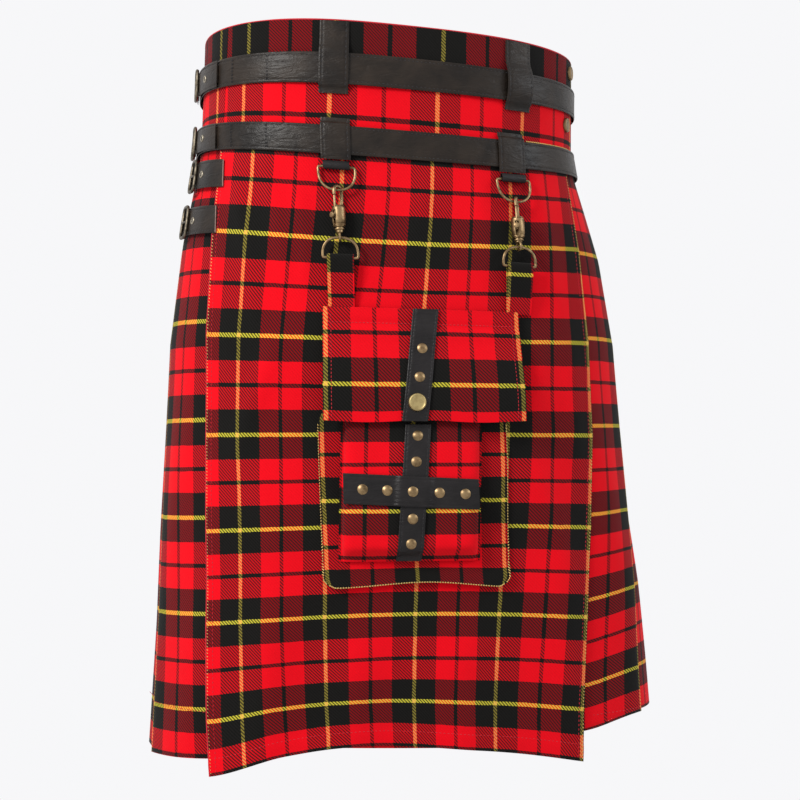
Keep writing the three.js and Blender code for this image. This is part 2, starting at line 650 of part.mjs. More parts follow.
const TAB_STOPS = [
  { z: -85, out: 6.4, half: 2.6 }, { z: -88.2, out: 6.4, half: 3.3 },
];
const D_RING = { width: 30.6, top: -88.2, bottom: BAR_Z, outTop: 6.4, outBottom: HOOK.out, wire: WIRE,
  topPower: 0.3, bottomPower: 0.8 };
const LOW_RING = { width: 29, top: LOW_BAR_Z, bottom: -165.4, outTop: HOOK.out, outBottom: HOOK.out, wire: 1.3,
  topPower: 0.8, bottomPower: 0.3 };
const HANGER_STOPS = [
  { z: -164.4, out: 9, half: 3.2 }, { z: -176, out: 8.4, half: 2.6 }, { z: -190, out: 6.6, half: 1.9 },
  { z: -203.9, out: 5, half: 1.7 },
];
for (const [side, s] of Object.entries(HANG_S)) {
  addPart(`loop_lower_${side}`, loopOver(s, LOWER_LOOP), 'leather');
  addPart(`ring_tab_${side}`, foldedStrap(s, 20, TAB_STOPS, 1.1), 'leather');
  addPart(`d_ring_${side}`, wireRing(s, D_RING), 'brass');
  addPart(`hook_${side}`, hookBody(side), 'brass');
  addPart(`hook_bolt_${side}`, hookBolt(side), 'brass');
  addPart(`hook_ring_${side}`, wireRing(s, LOW_RING), 'brass');
  addPart(`hanger_${side}`, foldedStrap(s, 22, HANGER_STOPS, 1.1), 'cloth');
}

addPart('bag_back', bagBack(), 'cloth');
addPart('bag_flap', bagFlap(), 'cloth');
addPart('bag_pouch', pouch(), 'cloth');
addPart('bag_flap_strap', flapStrap(), 'leather');
addPart('bag_pouch_strap', pouchStrap(), 'leather');
addPart('bag_cross_strap', crossStrap(), 'leather');

const onTop = (strapOut) => (s, z) => strapOut(s, z) + STRAP.thick;
const along = (middle) => (z) => [middle(z), z];
const RIVET = { radius: 4.4, height: 1.8 };
const RIVETS = {
  flap: { out: onTop(flapStrapOut), at: [-240, -264.5].map(along(flapStrapMiddle)) },
  pouch: { out: onTop(pouchStrapOut), at: [-314, -336, -384, -405].map(along(pouchStrapMiddle)) },
  cross: { out: onTop(crossStrapOut), at: [-44, -24, -3, 19.6, 41].map((s) => [s, CROSS.z]) },
};
for (const [name, { out, at }] of Object.entries(RIVETS)) {
  at.forEach(([s, z], k) => {
    addPart(`rivet_${name}_${k + 1}`, stud(s, z, out, RIVET.radius, RIVET.height), 'brass');
    if (name === 'cross') kilt.children.at(-1).geometry.translate(0, 0, crossFall(s));
  });
}
const SNAP = { z: -286, radius: 7.8, height: 3 };
const snapAt = along(flapStrapMiddle)(SNAP.z);
addPart('snap_flap', stud(...snapAt, onTop(flapStrapOut), SNAP.radius, SNAP.height, 12), 'brass');

const YOKE_SNAPS = { upper: { s: 182, z: 26 }, lower: { s: 171, z: -28 } };
const YOKE_SNAP = { radius: 6.5, height: 2.6 };
for (const [name, { s, z }] of Object.entries(YOKE_SNAPS)) {
  const onCloth = () => LAYER.cloth + CLOTH;
  addPart(`yoke_snap_${name}`, stud(s, z, onCloth, YOKE_SNAP.radius, YOKE_SNAP.height, 10), 'brass');
}

const HIP_STRAPS = { upper: { z: -97, front: -164, back: -234 }, lower: { z: -135, front: -172, back: -242 } };
const HIP_STRAP = { width: 23, out: 3.4, rise: 1.2, riseOver: 20, buckleIn: 16, buckleOut: 8.2, buckleHigh: 26 };
for (const [name, { z, front, back }] of Object.entries(HIP_STRAPS)) {
  const heights = [z + HIP_STRAP.width / 2, z - HIP_STRAP.width / 2];
  const out = (s) => HIP_STRAP.out + HIP_STRAP.rise * smooth((front - s) / HIP_STRAP.riseOver);
  const strap = patch(heights, () => back, () => front, 14, out, STRAP_LEATHER);
  addPart(`hip_strap_${name}`, strap, 'leather');
  const { buckleIn, buckleOut, buckleHigh } = HIP_STRAP;
  addPart(`hip_buckle_${name}`, buckle(back + buckleIn, z, buckleOut, buckleHigh), 'silver');
}

export default kilt;
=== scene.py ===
# %% [markdown]
# # A checked wrap kilt with belts and a clip-on pouch
# A wrap kilt is one long strip of checked wool. Its middle is folded into knife pleats and lies
# at the back, and its two flat ends, the aprons, cross in front. This lesson dresses a plain
# solid model of one with cloth, leather and metal. The solid model says where each piece goes,
# so the first step loads it and keeps its size.

# %% Load the frame
import math

import bmesh
import bpy
import numpy as np
from mathutils import Euler, Matrix, Quaternion, Vector


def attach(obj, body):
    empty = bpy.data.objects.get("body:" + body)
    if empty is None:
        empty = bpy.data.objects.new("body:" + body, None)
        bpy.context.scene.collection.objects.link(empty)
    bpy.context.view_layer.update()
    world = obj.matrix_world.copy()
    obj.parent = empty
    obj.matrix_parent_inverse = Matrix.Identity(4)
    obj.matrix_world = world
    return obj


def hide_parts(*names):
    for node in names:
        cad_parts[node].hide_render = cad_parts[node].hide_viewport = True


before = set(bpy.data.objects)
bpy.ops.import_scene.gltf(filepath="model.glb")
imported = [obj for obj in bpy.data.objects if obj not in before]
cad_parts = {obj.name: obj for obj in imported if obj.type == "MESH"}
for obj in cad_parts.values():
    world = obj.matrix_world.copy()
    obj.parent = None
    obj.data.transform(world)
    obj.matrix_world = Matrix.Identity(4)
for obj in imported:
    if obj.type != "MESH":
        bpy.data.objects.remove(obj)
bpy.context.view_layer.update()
MM = 0.001

# %% [markdown]
# ## The camera
# The photograph is taken from nearly straight in front, a little below the waist, with a long
# lens. A camera can be placed by eye or from measured points. Here it comes from points that
# were measured once. The last turn is a small roll about the line of sight.

# %% Camera
TURN_LEFT, TILT_UP, ROLL = -6.85, 1.61, 0.57
lens = bpy.data.cameras.new("lens")
lens.lens, lens.sensor_width = 85.3, 36
lens.clip_start, lens.clip_end = 0.05, 50
camera = bpy.data.objects.new("Camera", lens)
bpy.context.scene.collection.objects.link(camera)
aim = Euler((math.radians(90 + TILT_UP), 0, math.radians(TURN_LEFT))).to_matrix()
camera.matrix_world = Matrix.Translation((-0.2024, -1.7435, -0.329)) @ (
    aim @ Matrix.Rotation(math.radians(ROLL), 3, "Z")
).to_4x4()
bpy.context.scene.camera = camera
print("camera looks along", [round(v, 3) for v in camera.matrix_world.to_3x3() @ Vector((0, 0, -1))])

# %% [markdown]
# ## The body line
# All cloth here hangs round one body, so one table of level sections holds its shape: half
# width, depth in front and behind, sideways shift, slant, how far an apron's sides drop, and
# where the apron's edges are. A freehand outline would be an alternative, but a rounded box
# needs only three numbers a section and swells smoothly. A place on the garment is then an arc
# length from the centre front, a height, and a distance outward.

# %% Sections and places
SECTION_POWER = 2.6
# z, half width, front, back, shift, slant, bow left, bow right, dip, apron left, apron right
ROWS = np.array([
    (39, 166, 130, 118, -8, -11, -7, 0, 0, -150, 148),
    (0, 166.4, 131.6, 121.3, -8.4, -10.2, -5, 3, 0, -150, 148),
    (-56, 167, 134, 126, -9, -9, 6, 8, 0, -150, 148),
    (-80, 170, 135, 130, -8, -8, 8, 9, 2, -153, 151),
    (-152, 188, 140, 142, -4, -5, 4, 3, 8, -164, 156),
    (-231, 199, 143, 152, -2, -1, 1, 0, 5, -170, 162),
    (-311, 203, 144, 158, 0, 2, 0, 0, 0, -171, 164),
    (-389, 208, 143, 162, 3, 3, 0, 0, -7, -172, 159),
    (-466, 213, 141, 166, 7, 3, 0, 0, -14, -174, 151),
    (-541, 217, 138, 170, 9, 1, 0, 0, -23, -172, 145),
    (-580, 219, 136, 172, 10, -1, 0, 0, -33, -170, 144),
])
RIM_Z, YOKE_BOTTOM_Z, HEM_Z = 39, -56, -580
sections = {}


def row_at(z):
    return [float(np.interp(-z, -ROWS[:, 0], ROWS[:, k])) for k in range(1, 11)]


def section_at(z):
    key = round(z, 2)
    if key not in sections:
        half, front, back, *rest = row_at(z)
        angle = np.linspace(0, np.pi, 361)
        depth = np.where(angle < np.pi / 2, front, back)
        reach = (np.sin(angle) / half) ** SECTION_POWER
        reach += (np.abs(np.cos(angle)) / depth) ** SECTION_POWER
        reach **= -1 / SECTION_POWER
        x, y = reach * np.sin(angle), -reach * np.cos(angle)
        arc = np.concatenate([[0], np.cumsum(np.hypot(np.diff(x), np.diff(y)))])
        along = np.hypot(np.gradient(x), np.gradient(y))
        normal_x, normal_y = np.gradient(y) / along, -np.gradient(x) / along
        sections[key] = (arc, x, y, normal_x, normal_y, half, rest)
    return sections[key]


def half_round(z):
    return float(section_at(z)[0][-1])


def place(s, z, out=0.0, lift=0.0):
    arc, xs, ys, nxs, nys, half, (shift, slant, bow_left, bow_right, *_) = section_at(z)
    if s > arc[-1]:
        s -= 2 * arc[-1]
    side = -1 if s < 0 else 1
    x = side * np.interp(side * s, arc, xs)
    y = np.interp(side * s, arc, ys)
    outward_x = side * np.interp(side * s, arc, nxs)
    outward_y = np.interp(side * s, arc, nys)
    share = x / half
    lift += slant * share + (bow_left if share < 0 else bow_right) * abs(share) ** 3
    return Vector((x + outward_x * out + shift, y + outward_y * out, z + lift)) * MM


def arc_of_x(z, x):
    arc, xs = section_at(z)[:2]
    return math.copysign(float(np.interp(abs(x), xs[:181], arc[:181])), x)


def x_share(s, z):
    arc, xs, *_ = section_at(z)
    return math.copysign(float(np.interp(abs(s), arc, xs)), s) / section_at(z)[5]


def smooth(t):
    t = min(1.0, max(0.0, t))
    return t * t * (3 - 2 * t)


def between(a, b, t):
    return a + (b - a) * t


print("half round at the hem, mm:", round(half_round(HEM_Z), 1))

# %% [markdown]
# ## Cloth from a grid
# Cloth is thin and follows a surface, so each piece starts as a flat bmesh grid whose points
# are moved onto the body. Drawing faces one by one would be an alternative, but a grid keeps
# warp and weft straight. A Solidify modifier gives the wall, and a Bevel softens its cut
# edges.

# %% Cloth helper
collection = bpy.context.scene.collection


def keep(piece, node, finish, body="kilt"):
    """Gives a piece its finish and its place in the frame, and hides the solids that it stands for."""
    piece.data.materials.clear()
    piece.data.materials.append(finish)
    if piece.name not in collection.objects:
        collection.objects.link(piece)
    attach(piece, body)
    if node:
        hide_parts(*([node] if isinstance(node, str) else node))
    return piece


def thicken(piece, wall, side=-1.0, edge=0.3):
    solid = piece.modifiers.new("wall", "SOLIDIFY")
    solid.thickness, solid.offset = wall * MM, side
    solid.use_even_offset = True
    solid.thickness_clamp = 1.0
    if edge:
        bevel = piece.modifiers.new("edge", "BEVEL")
        bevel.width, bevel.segments = edge * MM, 2
        bevel.limit_method, bevel.angle_limit = "ANGLE", math.radians(55)
        bevel.harden_normals = True


def cloth(name, columns, rows, shape, wall, side=-1.0, edge=0.3, join=False):
    """shape(a, b) gives a point, its check place and its thread place, for a and b from 0 to 1."""
    bm = bmesh.new()
    bmesh.ops.create_grid(bm, x_segments=columns, y_segments=rows, size=1)
    reach = max(v.co.x for v in bm.verts)
    maps = [bm.loops.layers.uv.new("check"), bm.loops.layers.uv.new("thread")]
    for vert in bm.verts:
        across = vert.co.x / reach / 2 + 0.5
        down = 0.5 - vert.co.y / reach / 2
        spot, check, *threads = shape(across, down)
        vert.co = spot
        for loop in vert.link_loops:
            loop[maps[0]].uv = check
            loop[maps[1]].uv = threads[0] if threads else check
    if join:
        bmesh.ops.remove_doubles(bm, verts=bm.verts, dist=0.02 * MM)
    for face in bm.faces:
        face.smooth = True
    mesh = bpy.data.meshes.new(name)
    bm.to_mesh(mesh)
    bm.free()
    piece = bpy.data.objects.new(name, mesh)
    collection.objects.link(piece)
    thicken(piece, wall, side, edge)
    return piece


# %% [markdown]
# ## Creases
# Cloth that hangs shows soft troughs and ridges. A simulation could find some, but the ones in
# the photograph have their own places, so they are listed one by one. Each one runs along a line
# from one point to another, is bell-shaped across, and dies away at its ends. No two are
# alike.

# %% Crease helper


def crease_height(creases, s, z):
    """The sum of soft creases (s0, z0, s1, z1, half width, height) in millimetres."""
    total = 0.0
    for s0, z0, s1, z1, spread, height in creases:
        run = math.hypot(s1 - s0, z1 - z0)
        along = ((s - s0) * (s1 - s0) + (z - z0) * (z1 - z0)) / run ** 2
        if -0.3 < along < 1.3:
            aside = ((s - s0) * (z1 - z0) - (z - z0) * (s1 - s0)) / run / spread
            if abs(aside) < 3:
                fade = smooth((along + 0.25) / 0.5) * smooth((1.25 - along) / 0.5)
                total += height * fade * math.exp(-aside * aside)
    return total


# %% [markdown]
# ## Shader maths
# A pattern is a sum on coordinates, and sums read best as sums. The class below wraps one
# socket of a node tree, so that plus, minus, times and divide add Math nodes. Colours go
# through Mix nodes. Every other node comes from one method that takes its type, its settings
# and the values or links of its sockets.

# %% Shader class


class Value:
    """One socket that can be calculated with."""

    def __init__(self, finish, socket):
        self.finish, self.socket = finish, socket

    def maths(self, operation, *others):
        return self.finish.node(
            "ShaderNodeMath", {"operation": operation}, dict(enumerate((self, *others)))
        )

    def __add__(self, other):
        return self.maths("ADD", other)

    def __sub__(self, other):
        return self.maths("SUBTRACT", other)

    def __mul__(self, other):
        return self.maths("MULTIPLY", other)

    def __truediv__(self, other):
        return self.maths("DIVIDE", other)

    def __lt__(self, other):
        return self.maths("LESS_THAN", other)


class Finish:
    """A material under construction."""

    def __init__(self, name, **constants):
        self.material = bpy.data.materials.new(name)
        self.material.use_nodes = True
        self.tree = self.material.node_tree
        self.shader = self.tree.nodes["Principled BSDF"]
        for socket, value in constants.items():
            self.shader.inputs[socket.replace("_", " ")].default_value = value

    def node(self, kind, settings=None, values=None, out=0):
        made = self.tree.nodes.new(kind)
        for key, value in (settings or {}).items():
            if key == "stops":
                self.set_stops(made.color_ramp, value)
            else:
                setattr(made, key, value)
        for key, value in (values or {}).items():
            if isinstance(value, Value):
                self.tree.links.new(value.socket, made.inputs[key])
            else:
                made.inputs[key].default_value = value
        return Value(self, made.outputs[out])

    def set_stops(self, ramp, stops):
        while len(ramp.elements) < len(stops):
            ramp.elements.new(1.0)
        for element, (position, colour) in zip(ramp.elements, stops):
            element.position = position
            element.color = (*colour, 1.0)

    def ramp(self, factor, stops, interpolation="LINEAR"):
        made = self.node("ShaderNodeValToRGB", {"stops": stops}, {0: factor})
        made.socket.node.color_ramp.interpolation = interpolation
        return made

    def mix(self, factor, a, b, blend="MIX"):
        return self.node(
            "ShaderNodeMix", {"data_type": "RGBA", "blend_type": blend},
            {0: factor, 6: a, 7: b}, 2,
        )

    def place(self):
        return self.node("ShaderNodeTexCoord", out=3)

    def noise(self, scale, detail=3.0, rough=0.5, where=None, distortion=0.0):
        return self.node(
            "ShaderNodeTexNoise", None,
            {"Vector": where or self.place(), "Scale": scale, "Detail": detail,
             "Roughness": rough, "Distortion": distortion},
        )

    def bump(self, height, distance, strength=1.0, under=None):
        values = {"Height": height, "Distance": distance, "Strength": strength}
        if under:
            values["Normal"] = under
        return self.node("ShaderNodeBump", None, values)

    def end(self, **links):
        for socket, value in links.items():
            self.tree.links.new(value.socket, self.shader.inputs[socket.replace("_", " ")])
        print("finish:", self.material.name, len(self.tree.nodes), "nodes")
        return self.material


# %% [markdown]
# ## The checked wool
# A check is woven from one order of coloured threads, used for both warp and weft. Where two
# colours cross, a twill shows them in turn, in fine diagonal lines. A picture of the cloth
# would be one way to colour it, but a calculated check stays sharp at any size. The distance
# to the nearest yellow line picks a thread colour from a stepped ramp, once for the warp and
# once for the weft, and the diagonal picks which of the two lies on top. Each colour is darkened
# a little where the other thread is black, a painted shade for the shadow between the threads.

# %% Tartan finish
SETT = 78
YELLOW_HALF, BLACK_TO, RED_TO = 1.6, 19.9, 37.2
TWILL = 2.9
WEFT_SHARE, TWILL_STEP = 0.5, 0.78
# The warp's red, black and yellow are darker copies of the weft's, a painted shade on the warp; its yellow
# is also more orange.
RED, WARP_SHADED_RED = (0.66, 0.0, 0.006), (0.60, 0.0, 0.006)
# Painted shade factors: they darken a thread where the crossing thread is black.
WHITE, WARP_PAINTED_SHADE, WEFT_PAINTED_SHADE = (1, 1, 1), (0.34, 0.62, 0.34), (0.84, 1.0, 0.8)
BLACK, WARP_SHADED_BLACK = (0.008, 0.0055, 0.0065), (0.006, 0.004, 0.005)
YELLOW, WARP_SHADED_YELLOW = (0.62, 0.47, 0.045), (0.60, 0.27, 0.07)


def thread_colour(wool, along, red, black, yellow):
    turn = (along / (SETT * MM) + 0.5).maths("FRACT")
    distance = (turn - 0.5).maths("ABSOLUTE") * 2.0
    half = SETT / 2
    stops = [(0.0, yellow), (YELLOW_HALF / half, black)]
    stops += [(BLACK_TO / half, red), (RED_TO / half, black)]
    return wool.ramp(distance, stops, "CONSTANT")


def tartan(name):
    wool = Finish(name, Specular_IOR_Level=0.10, Sheen_Weight=0.03, Sheen_Roughness=0.5)
    check_map = wool.node("ShaderNodeUVMap", {"uv_map": "check"})
    thread_map = wool.node("ShaderNodeUVMap", {"uv_map": "thread"})
    check = wool.node("ShaderNodeSeparateXYZ", None, {0: check_map})
    thread = wool.node("ShaderNodeSeparateXYZ", None, {0: thread_map})
    check_v = Value(wool, check.socket.node.outputs[1])
    thread_v = Value(wool, thread.socket.node.outputs[1])
    wobble = (wool.noise(140, 2) - 0.5) * (0.9 * MM)
    warp_at, weft_at = check + wobble, check_v + wobble
    # The warp threads take the darker copies of the colours, a painted shade.
    warp = thread_colour(wool, warp_at, WARP_SHADED_RED, WARP_SHADED_BLACK, WARP_SHADED_YELLOW)
    weft = thread_colour(wool, weft_at, RED, BLACK, YELLOW)
    # Painted shade: each thread colour is multiplied darker where the crossing thread is black.
    warp = wool.mix(1.0, warp, thread_colour(wool, weft_at, WHITE, WARP_PAINTED_SHADE, WHITE), "MULTIPLY")
    weft = wool.mix(1.0, weft, thread_colour(wool, warp_at, WHITE, WEFT_PAINTED_SHADE, WHITE), "MULTIPLY")
    diagonal = ((thread - thread_v) / (TWILL * MM)).maths("FRACT")
    on_top = (diagonal < WEFT_SHARE) * TWILL_STEP + (1 - TWILL_STEP) / 2
    colour = wool.mix(on_top, warp, weft)
    shade = wool.ramp(wool.noise(9, 4, 0.6), [(0.3, (0.86, 0.86, 0.86)), (0.7, (1.0, 1.0, 1.0))])
    colour = wool.mix(0.7, colour, shade, "MULTIPLY")
    lint = wool.ramp(wool.noise(1900, 2, 0.7), [(0.35, (0.72, 0.72, 0.72)), (0.62, (1.0, 1.0, 1.0))])
    colour = wool.mix(0.5, colour, lint, "MULTIPLY")
    ridge = ((diagonal - 0.5).maths("ABSOLUTE") * -2.0 + 1.0) * 0.7
    yarn = ((thread_v / (0.7 * MM)).maths("FRACT") - 0.5).maths("ABSOLUTE")
    weave = wool.bump(ridge + yarn * 0.5, 0.16 * MM, 0.7)
    nap = wool.bump(wool.noise(2600, 3, 0.7), 0.10 * MM, 0.45, weave)
    roughness = wool.noise(500, 2) * 0.12 + 0.82
    return wool.end(Base_Color=colour, Roughness=roughness, Normal=nap)


checked_wool = tartan("checked_wool")

# %% [markdown]
# ## The leather
# The belts, loops and straps are thin black-brown leather with a closed grain. It could be
# painted with one dark colour, but real leather has pores, a few drawn wrinkles and rubbed
# patches. Fine cells give the grain, a slow stretched noise gives the wrinkles, and another
# noise lets a warmer brown through where the leather is rubbed.

# %% Leather finish


def leather(name, dark, rubbed, gloss):
    hide = Finish(name, Specular_IOR_Level=0.2)
    patches = hide.noise(26, 5, 0.62, distortion=0.4)
    colour = hide.ramp(patches, [(0.34, dark), (0.72, rubbed)])
    pores = hide.node(
        "ShaderNodeTexVoronoi", {"feature": "DISTANCE_TO_EDGE"},
        {"Vector": hide.place(), "Scale": 1150.0},
    )
    stretched = hide.node(
        "ShaderNodeMapping", {"vector_type": "POINT"},
        {"Vector": hide.place(), "Scale": (1.0, 1.0, 3.2)},
    )
    wrinkles = hide.noise(62, 4, 0.62, where=stretched, distortion=1.1)
    drawn = hide.bump(wrinkles, 1.5 * MM, 0.6)
    grain = hide.bump(pores, 0.10 * MM, 0.55, drawn)
    roughness = patches * 0.22 + gloss
    return hide.end(Base_Color=colour, Roughness=roughness, Normal=grain)


belt_leather = leather("belt_leather", (0.0050, 0.0036, 0.0028), (0.022, 0.0150, 0.0102), 0.29)
strap_leather = leather("strap_leather", (0.0045, 0.0038, 0.0040), (0.014, 0.0120, 0.0122), 0.29)

# %% [markdown]
# ## Metal and thread
# The hooks, rings and rivets are brass that was darkened and then rubbed, and the buckles are
# a paler worn silver. A clean metal would look too new, so a noise mixes a dark tarnish with
# the bright metal and makes the dark parts rougher. Threads and piped edges are matt, with a
# fine twist.

# %% Metal and thread finishes


def metal(name, bright, dark, rough):
    cast = Finish(name, Metallic=1.0)
    wear = cast.noise(210, 4, 0.6)
    colour = cast.ramp(wear, [(0.34, dark), (0.58, bright)])
    pits = cast.bump(cast.noise(1500, 3, 0.6), 0.03 * MM, 0.35)
    return cast.end(Base_Color=colour, Roughness=wear * -0.3 + (rough + 0.3), Normal=pits)


def yarn(name, light, dark):
    spun = Finish(name, Specular_IOR_Level=0.15, Sheen_Weight=0.1)
    fibres = spun.noise(2400, 3, 0.7)
    colour = spun.ramp(fibres, [(0.35, dark), (0.65, light)])
    return spun.end(
        Base_Color=colour, Roughness=fibres * 0.2 + 0.7, Normal=spun.bump(fibres, 0.1 * MM, 0.6)
    )


aged_brass = metal("aged_brass", (0.27, 0.185, 0.095), (0.12, 0.078, 0.040), 0.30)
bright_brass = metal("bright_brass", (0.42, 0.33, 0.15), (0.27, 0.20, 0.09), 0.26)
worn_silver = metal("worn_silver", (0.40, 0.36, 0.28), (0.20, 0.17, 0.13), 0.28)
dark_silver = metal("dark_silver", (0.15, 0.128, 0.095), (0.045, 0.038, 0.028), 0.32)
black_thread = yarn("black_thread", (0.030, 0.028, 0.030), (0.010, 0.010, 0.011))
red_thread = yarn("red_thread", (0.55, 0.02, 0.035), (0.26, 0.008, 0.012))
yellow_thread = yarn("yellow_thread", (0.66, 0.50, 0.17), (0.42, 0.27, 0.07))
cut_edge = yarn("cut_edge", (0.30, 0.20, 0.17), (0.10, 0.07, 0.06))

# %% [markdown]
# ## The front apron
# The outer apron is the flat end of the cloth. It hangs from under the lower belt, its left
# edge swings forward near the hem, and it drops a little at both sides. Cut flat it is a
# slightly flared panel. It is laid from the apron's left edge to its right one, so that the
# warp stays parallel to the edges, as the cloth is woven.

# %% Apron
CLOTH, PLEAT_CLOTH = 1.2, 1.0
APRON_OUT = 1.5
APRON_SHARE = [0, 0.093, 0.307, 0.5345, 0.749, 0.992, 1]
APRON_WARP = [-34, 0, 78, 156, 234, 312, 314.6]
APRON_TOP_Z = -56
# The heights of the yellow weft lines, from the top down, and the yellow warp lines' places.
APRON_WEFT = [-58, -150, -232.8, -313.2, -390.4, -465.2, -540, -618]
SIDE_WEFT = {
    -1: [-57, -137, -217, -297, -377.5, -457, -537.5, -618],
    1: [-68, -147, -226, -308.5, -390.5, -467.5, -541, -618],
}
BACK_WEFT = [-62, -142, -221, -303, -384, -462, -539, -618]
APRON_CREASES = [
    (-176, -330, -196, -585, 15, 2.2), (-122, -452, -134, -590, 17, 4.4),
    (-88, -475, -92, -590, 14, -1.5), (-52, -492, -56, -590, 17, 3.6),
    (-8, -490, -6, -590, 20, -1.2), (36, -485, 43, -590, 17, 3.2),
    (84, -470, 90, -590, 18, -1.2), (128, -430, 139, -590, 19, 4.2),
    (-150, -105, -132, -215, 9, 1.9), (-122, -84, -104, -180, 8, 1.7),
    (-92, -100, -88, -190, 7, 1.2), (122, -90, 134, -215, 10, 2.1), (146, -230, 152, -330, 11, 1.6),
    (-116, -240, -152, -330, 11, 2.4), (-140, -330, -112, -420, 13, 1.9),
    (104, -330, 142, -440, 13, 2.4), (20, -95, -6, -180, 9, 1.5), (-22, -84, -20, -150, 8, 1.0),
    (62, -90, 70, -170, 8, 1.2), (118, -235, 104, -320, 11, 1.7),
]
HEM_UP, HEM_STEP = 13, 0.5


def weft_at(z, lines):
    """How far down the check a height lies, in millimetres, with a yellow line every sett."""
    if z > lines[0]:
        return lines[0] - z
    return float(np.interp(-z, [-line for line in lines], [SETT * k for k in range(len(lines))]))


def apron_left(z):
    return arc_of_x(z, row_at(z)[8])


def apron_right(z):
    return arc_of_x(z, row_at(z)[9])


def apron_dip(s, z):
    return row_at(z)[7] * x_share(s, z) ** 2


def hem_wave(s, z):
    """The hem droops at its left corner and rises beside it."""
    corner = 7 * smooth((apron_left(z) + 62 - s) / 60) * smooth((-480 - z) / 100)
    return 4 * math.exp(-((s + 52) / 55) ** 2) * smooth((-500 - z) / 80) - corner


def apron_out(s, z):
    swing = smooth(1 - (s - apron_left(z)) / 70) * smooth((-420 - z) / 150)
    behind_bag = smooth((100 - abs(s)) / 18) * smooth((-192 - z) / 12) * smooth((z + 458) / 12)
    crease = max(-0.9, crease_height(APRON_CREASES, s, z)) * (1 - behind_bag)
    return APRON_OUT + 9 * swing + crease + HEM_STEP * smooth((HEM_Z + HEM_UP - z) / 1.5)


def apron_shape(a, b):
    z = between(APRON_TOP_Z, HEM_Z, b)
    s = between(apron_left(z), apron_right(z), a)
    lean = (4 + 12 * math.sin(math.pi * a)) * smooth((z + 290) / 200)
    spot = place(s, z, apron_out(s, z) + CLOTH, apron_dip(s, z) + hem_wave(s, z))
    warp = float(np.interp(a, APRON_SHARE, APRON_WARP)) - lean
    return spot, (warp * MM, weft_at(z, APRON_WEFT) * MM)


front_apron = cloth("apron_cloth", 132, 150, apron_shape, CLOTH)
keep(front_apron, "front_apron", checked_wool)
print("apron edges at the hem:", round(apron_left(HEM_Z)), round(apron_right(HEM_Z)))

# %% [markdown]
# ## The under apron
# Behind the outer apron lies the other end of the wrap. Nothing of it shows in the photograph,
# so it is a plain flat panel with the same check, in line with the side panels. It could be
# left out, but then the kilt would be open in front when it is seen from above.

# %% Under apron
UNDER_OUT = -2.3
TUCK = 14
SEAM_GAP = 0.3


def pleat_start(side, z):
    return abs(apron_left(z) if side < 0 else apron_right(z)) - TUCK


def under_shape(a, b):
    z = between(RIM_Z - 2, HEM_Z, b)
    left, right = 2 * SEAM_GAP - pleat_start(-1, z), pleat_start(1, z) - 2 * SEAM_GAP
    s = between(left, right, a)
    return place(s, z, UNDER_OUT + CLOTH), ((a * 310 - 12) * MM, -z * MM)


under_apron = cloth("under_cloth", 60, 72, under_shape, CLOTH)
keep(under_apron, "under_apron", checked_wool)

# %% [markdown]
# ## The pleats
# On each side a flat side panel runs back from under the apron's edge, and then six knife
# pleats point to the back. At each pleat the cloth is doubled back under itself. Pleats can be
# simulated, but sewn ones keep their places from waist to hem, so each level is drawn as one
# zigzag line: out along the visible panel, round the fold, in under it, round the inner turn
# and out again.

# %% Pleats
PLEATS_A_SIDE = 6
PLEAT_DEPTH = 22
SIDE_SHARE = {-1: 0.215, 1: 0.17}
PLEAT_ROWS = np.array([
    (-56.3, -1.7, 2.2, 0), (-80, -1.7, 2.2, 0), (-152, -1.7, 3.4, 0), (-268, -1.7, 4.6, 3),
    (-389, -1.7, 6.5, 8), (-488, -1.7, 8.5, 13), (-580, -1.7, 10.5, 17),
])
FOLD = 0.95
COUNT_Z = -350


def pleat_row(z):
    return [float(np.interp(-z, -PLEAT_ROWS[:, 0], PLEAT_ROWS[:, k])) for k in (1, 2, 3)]


def pleat_folds(side, z):
    start = pleat_start(side, z)
    end = half_round(z) - 4
    first = start + (end - start) * SIDE_SHARE[side]
    step = (end - first) / PLEATS_A_SIDE
    return start, [first + step * k for k in range(PLEATS_A_SIDE + 1)]


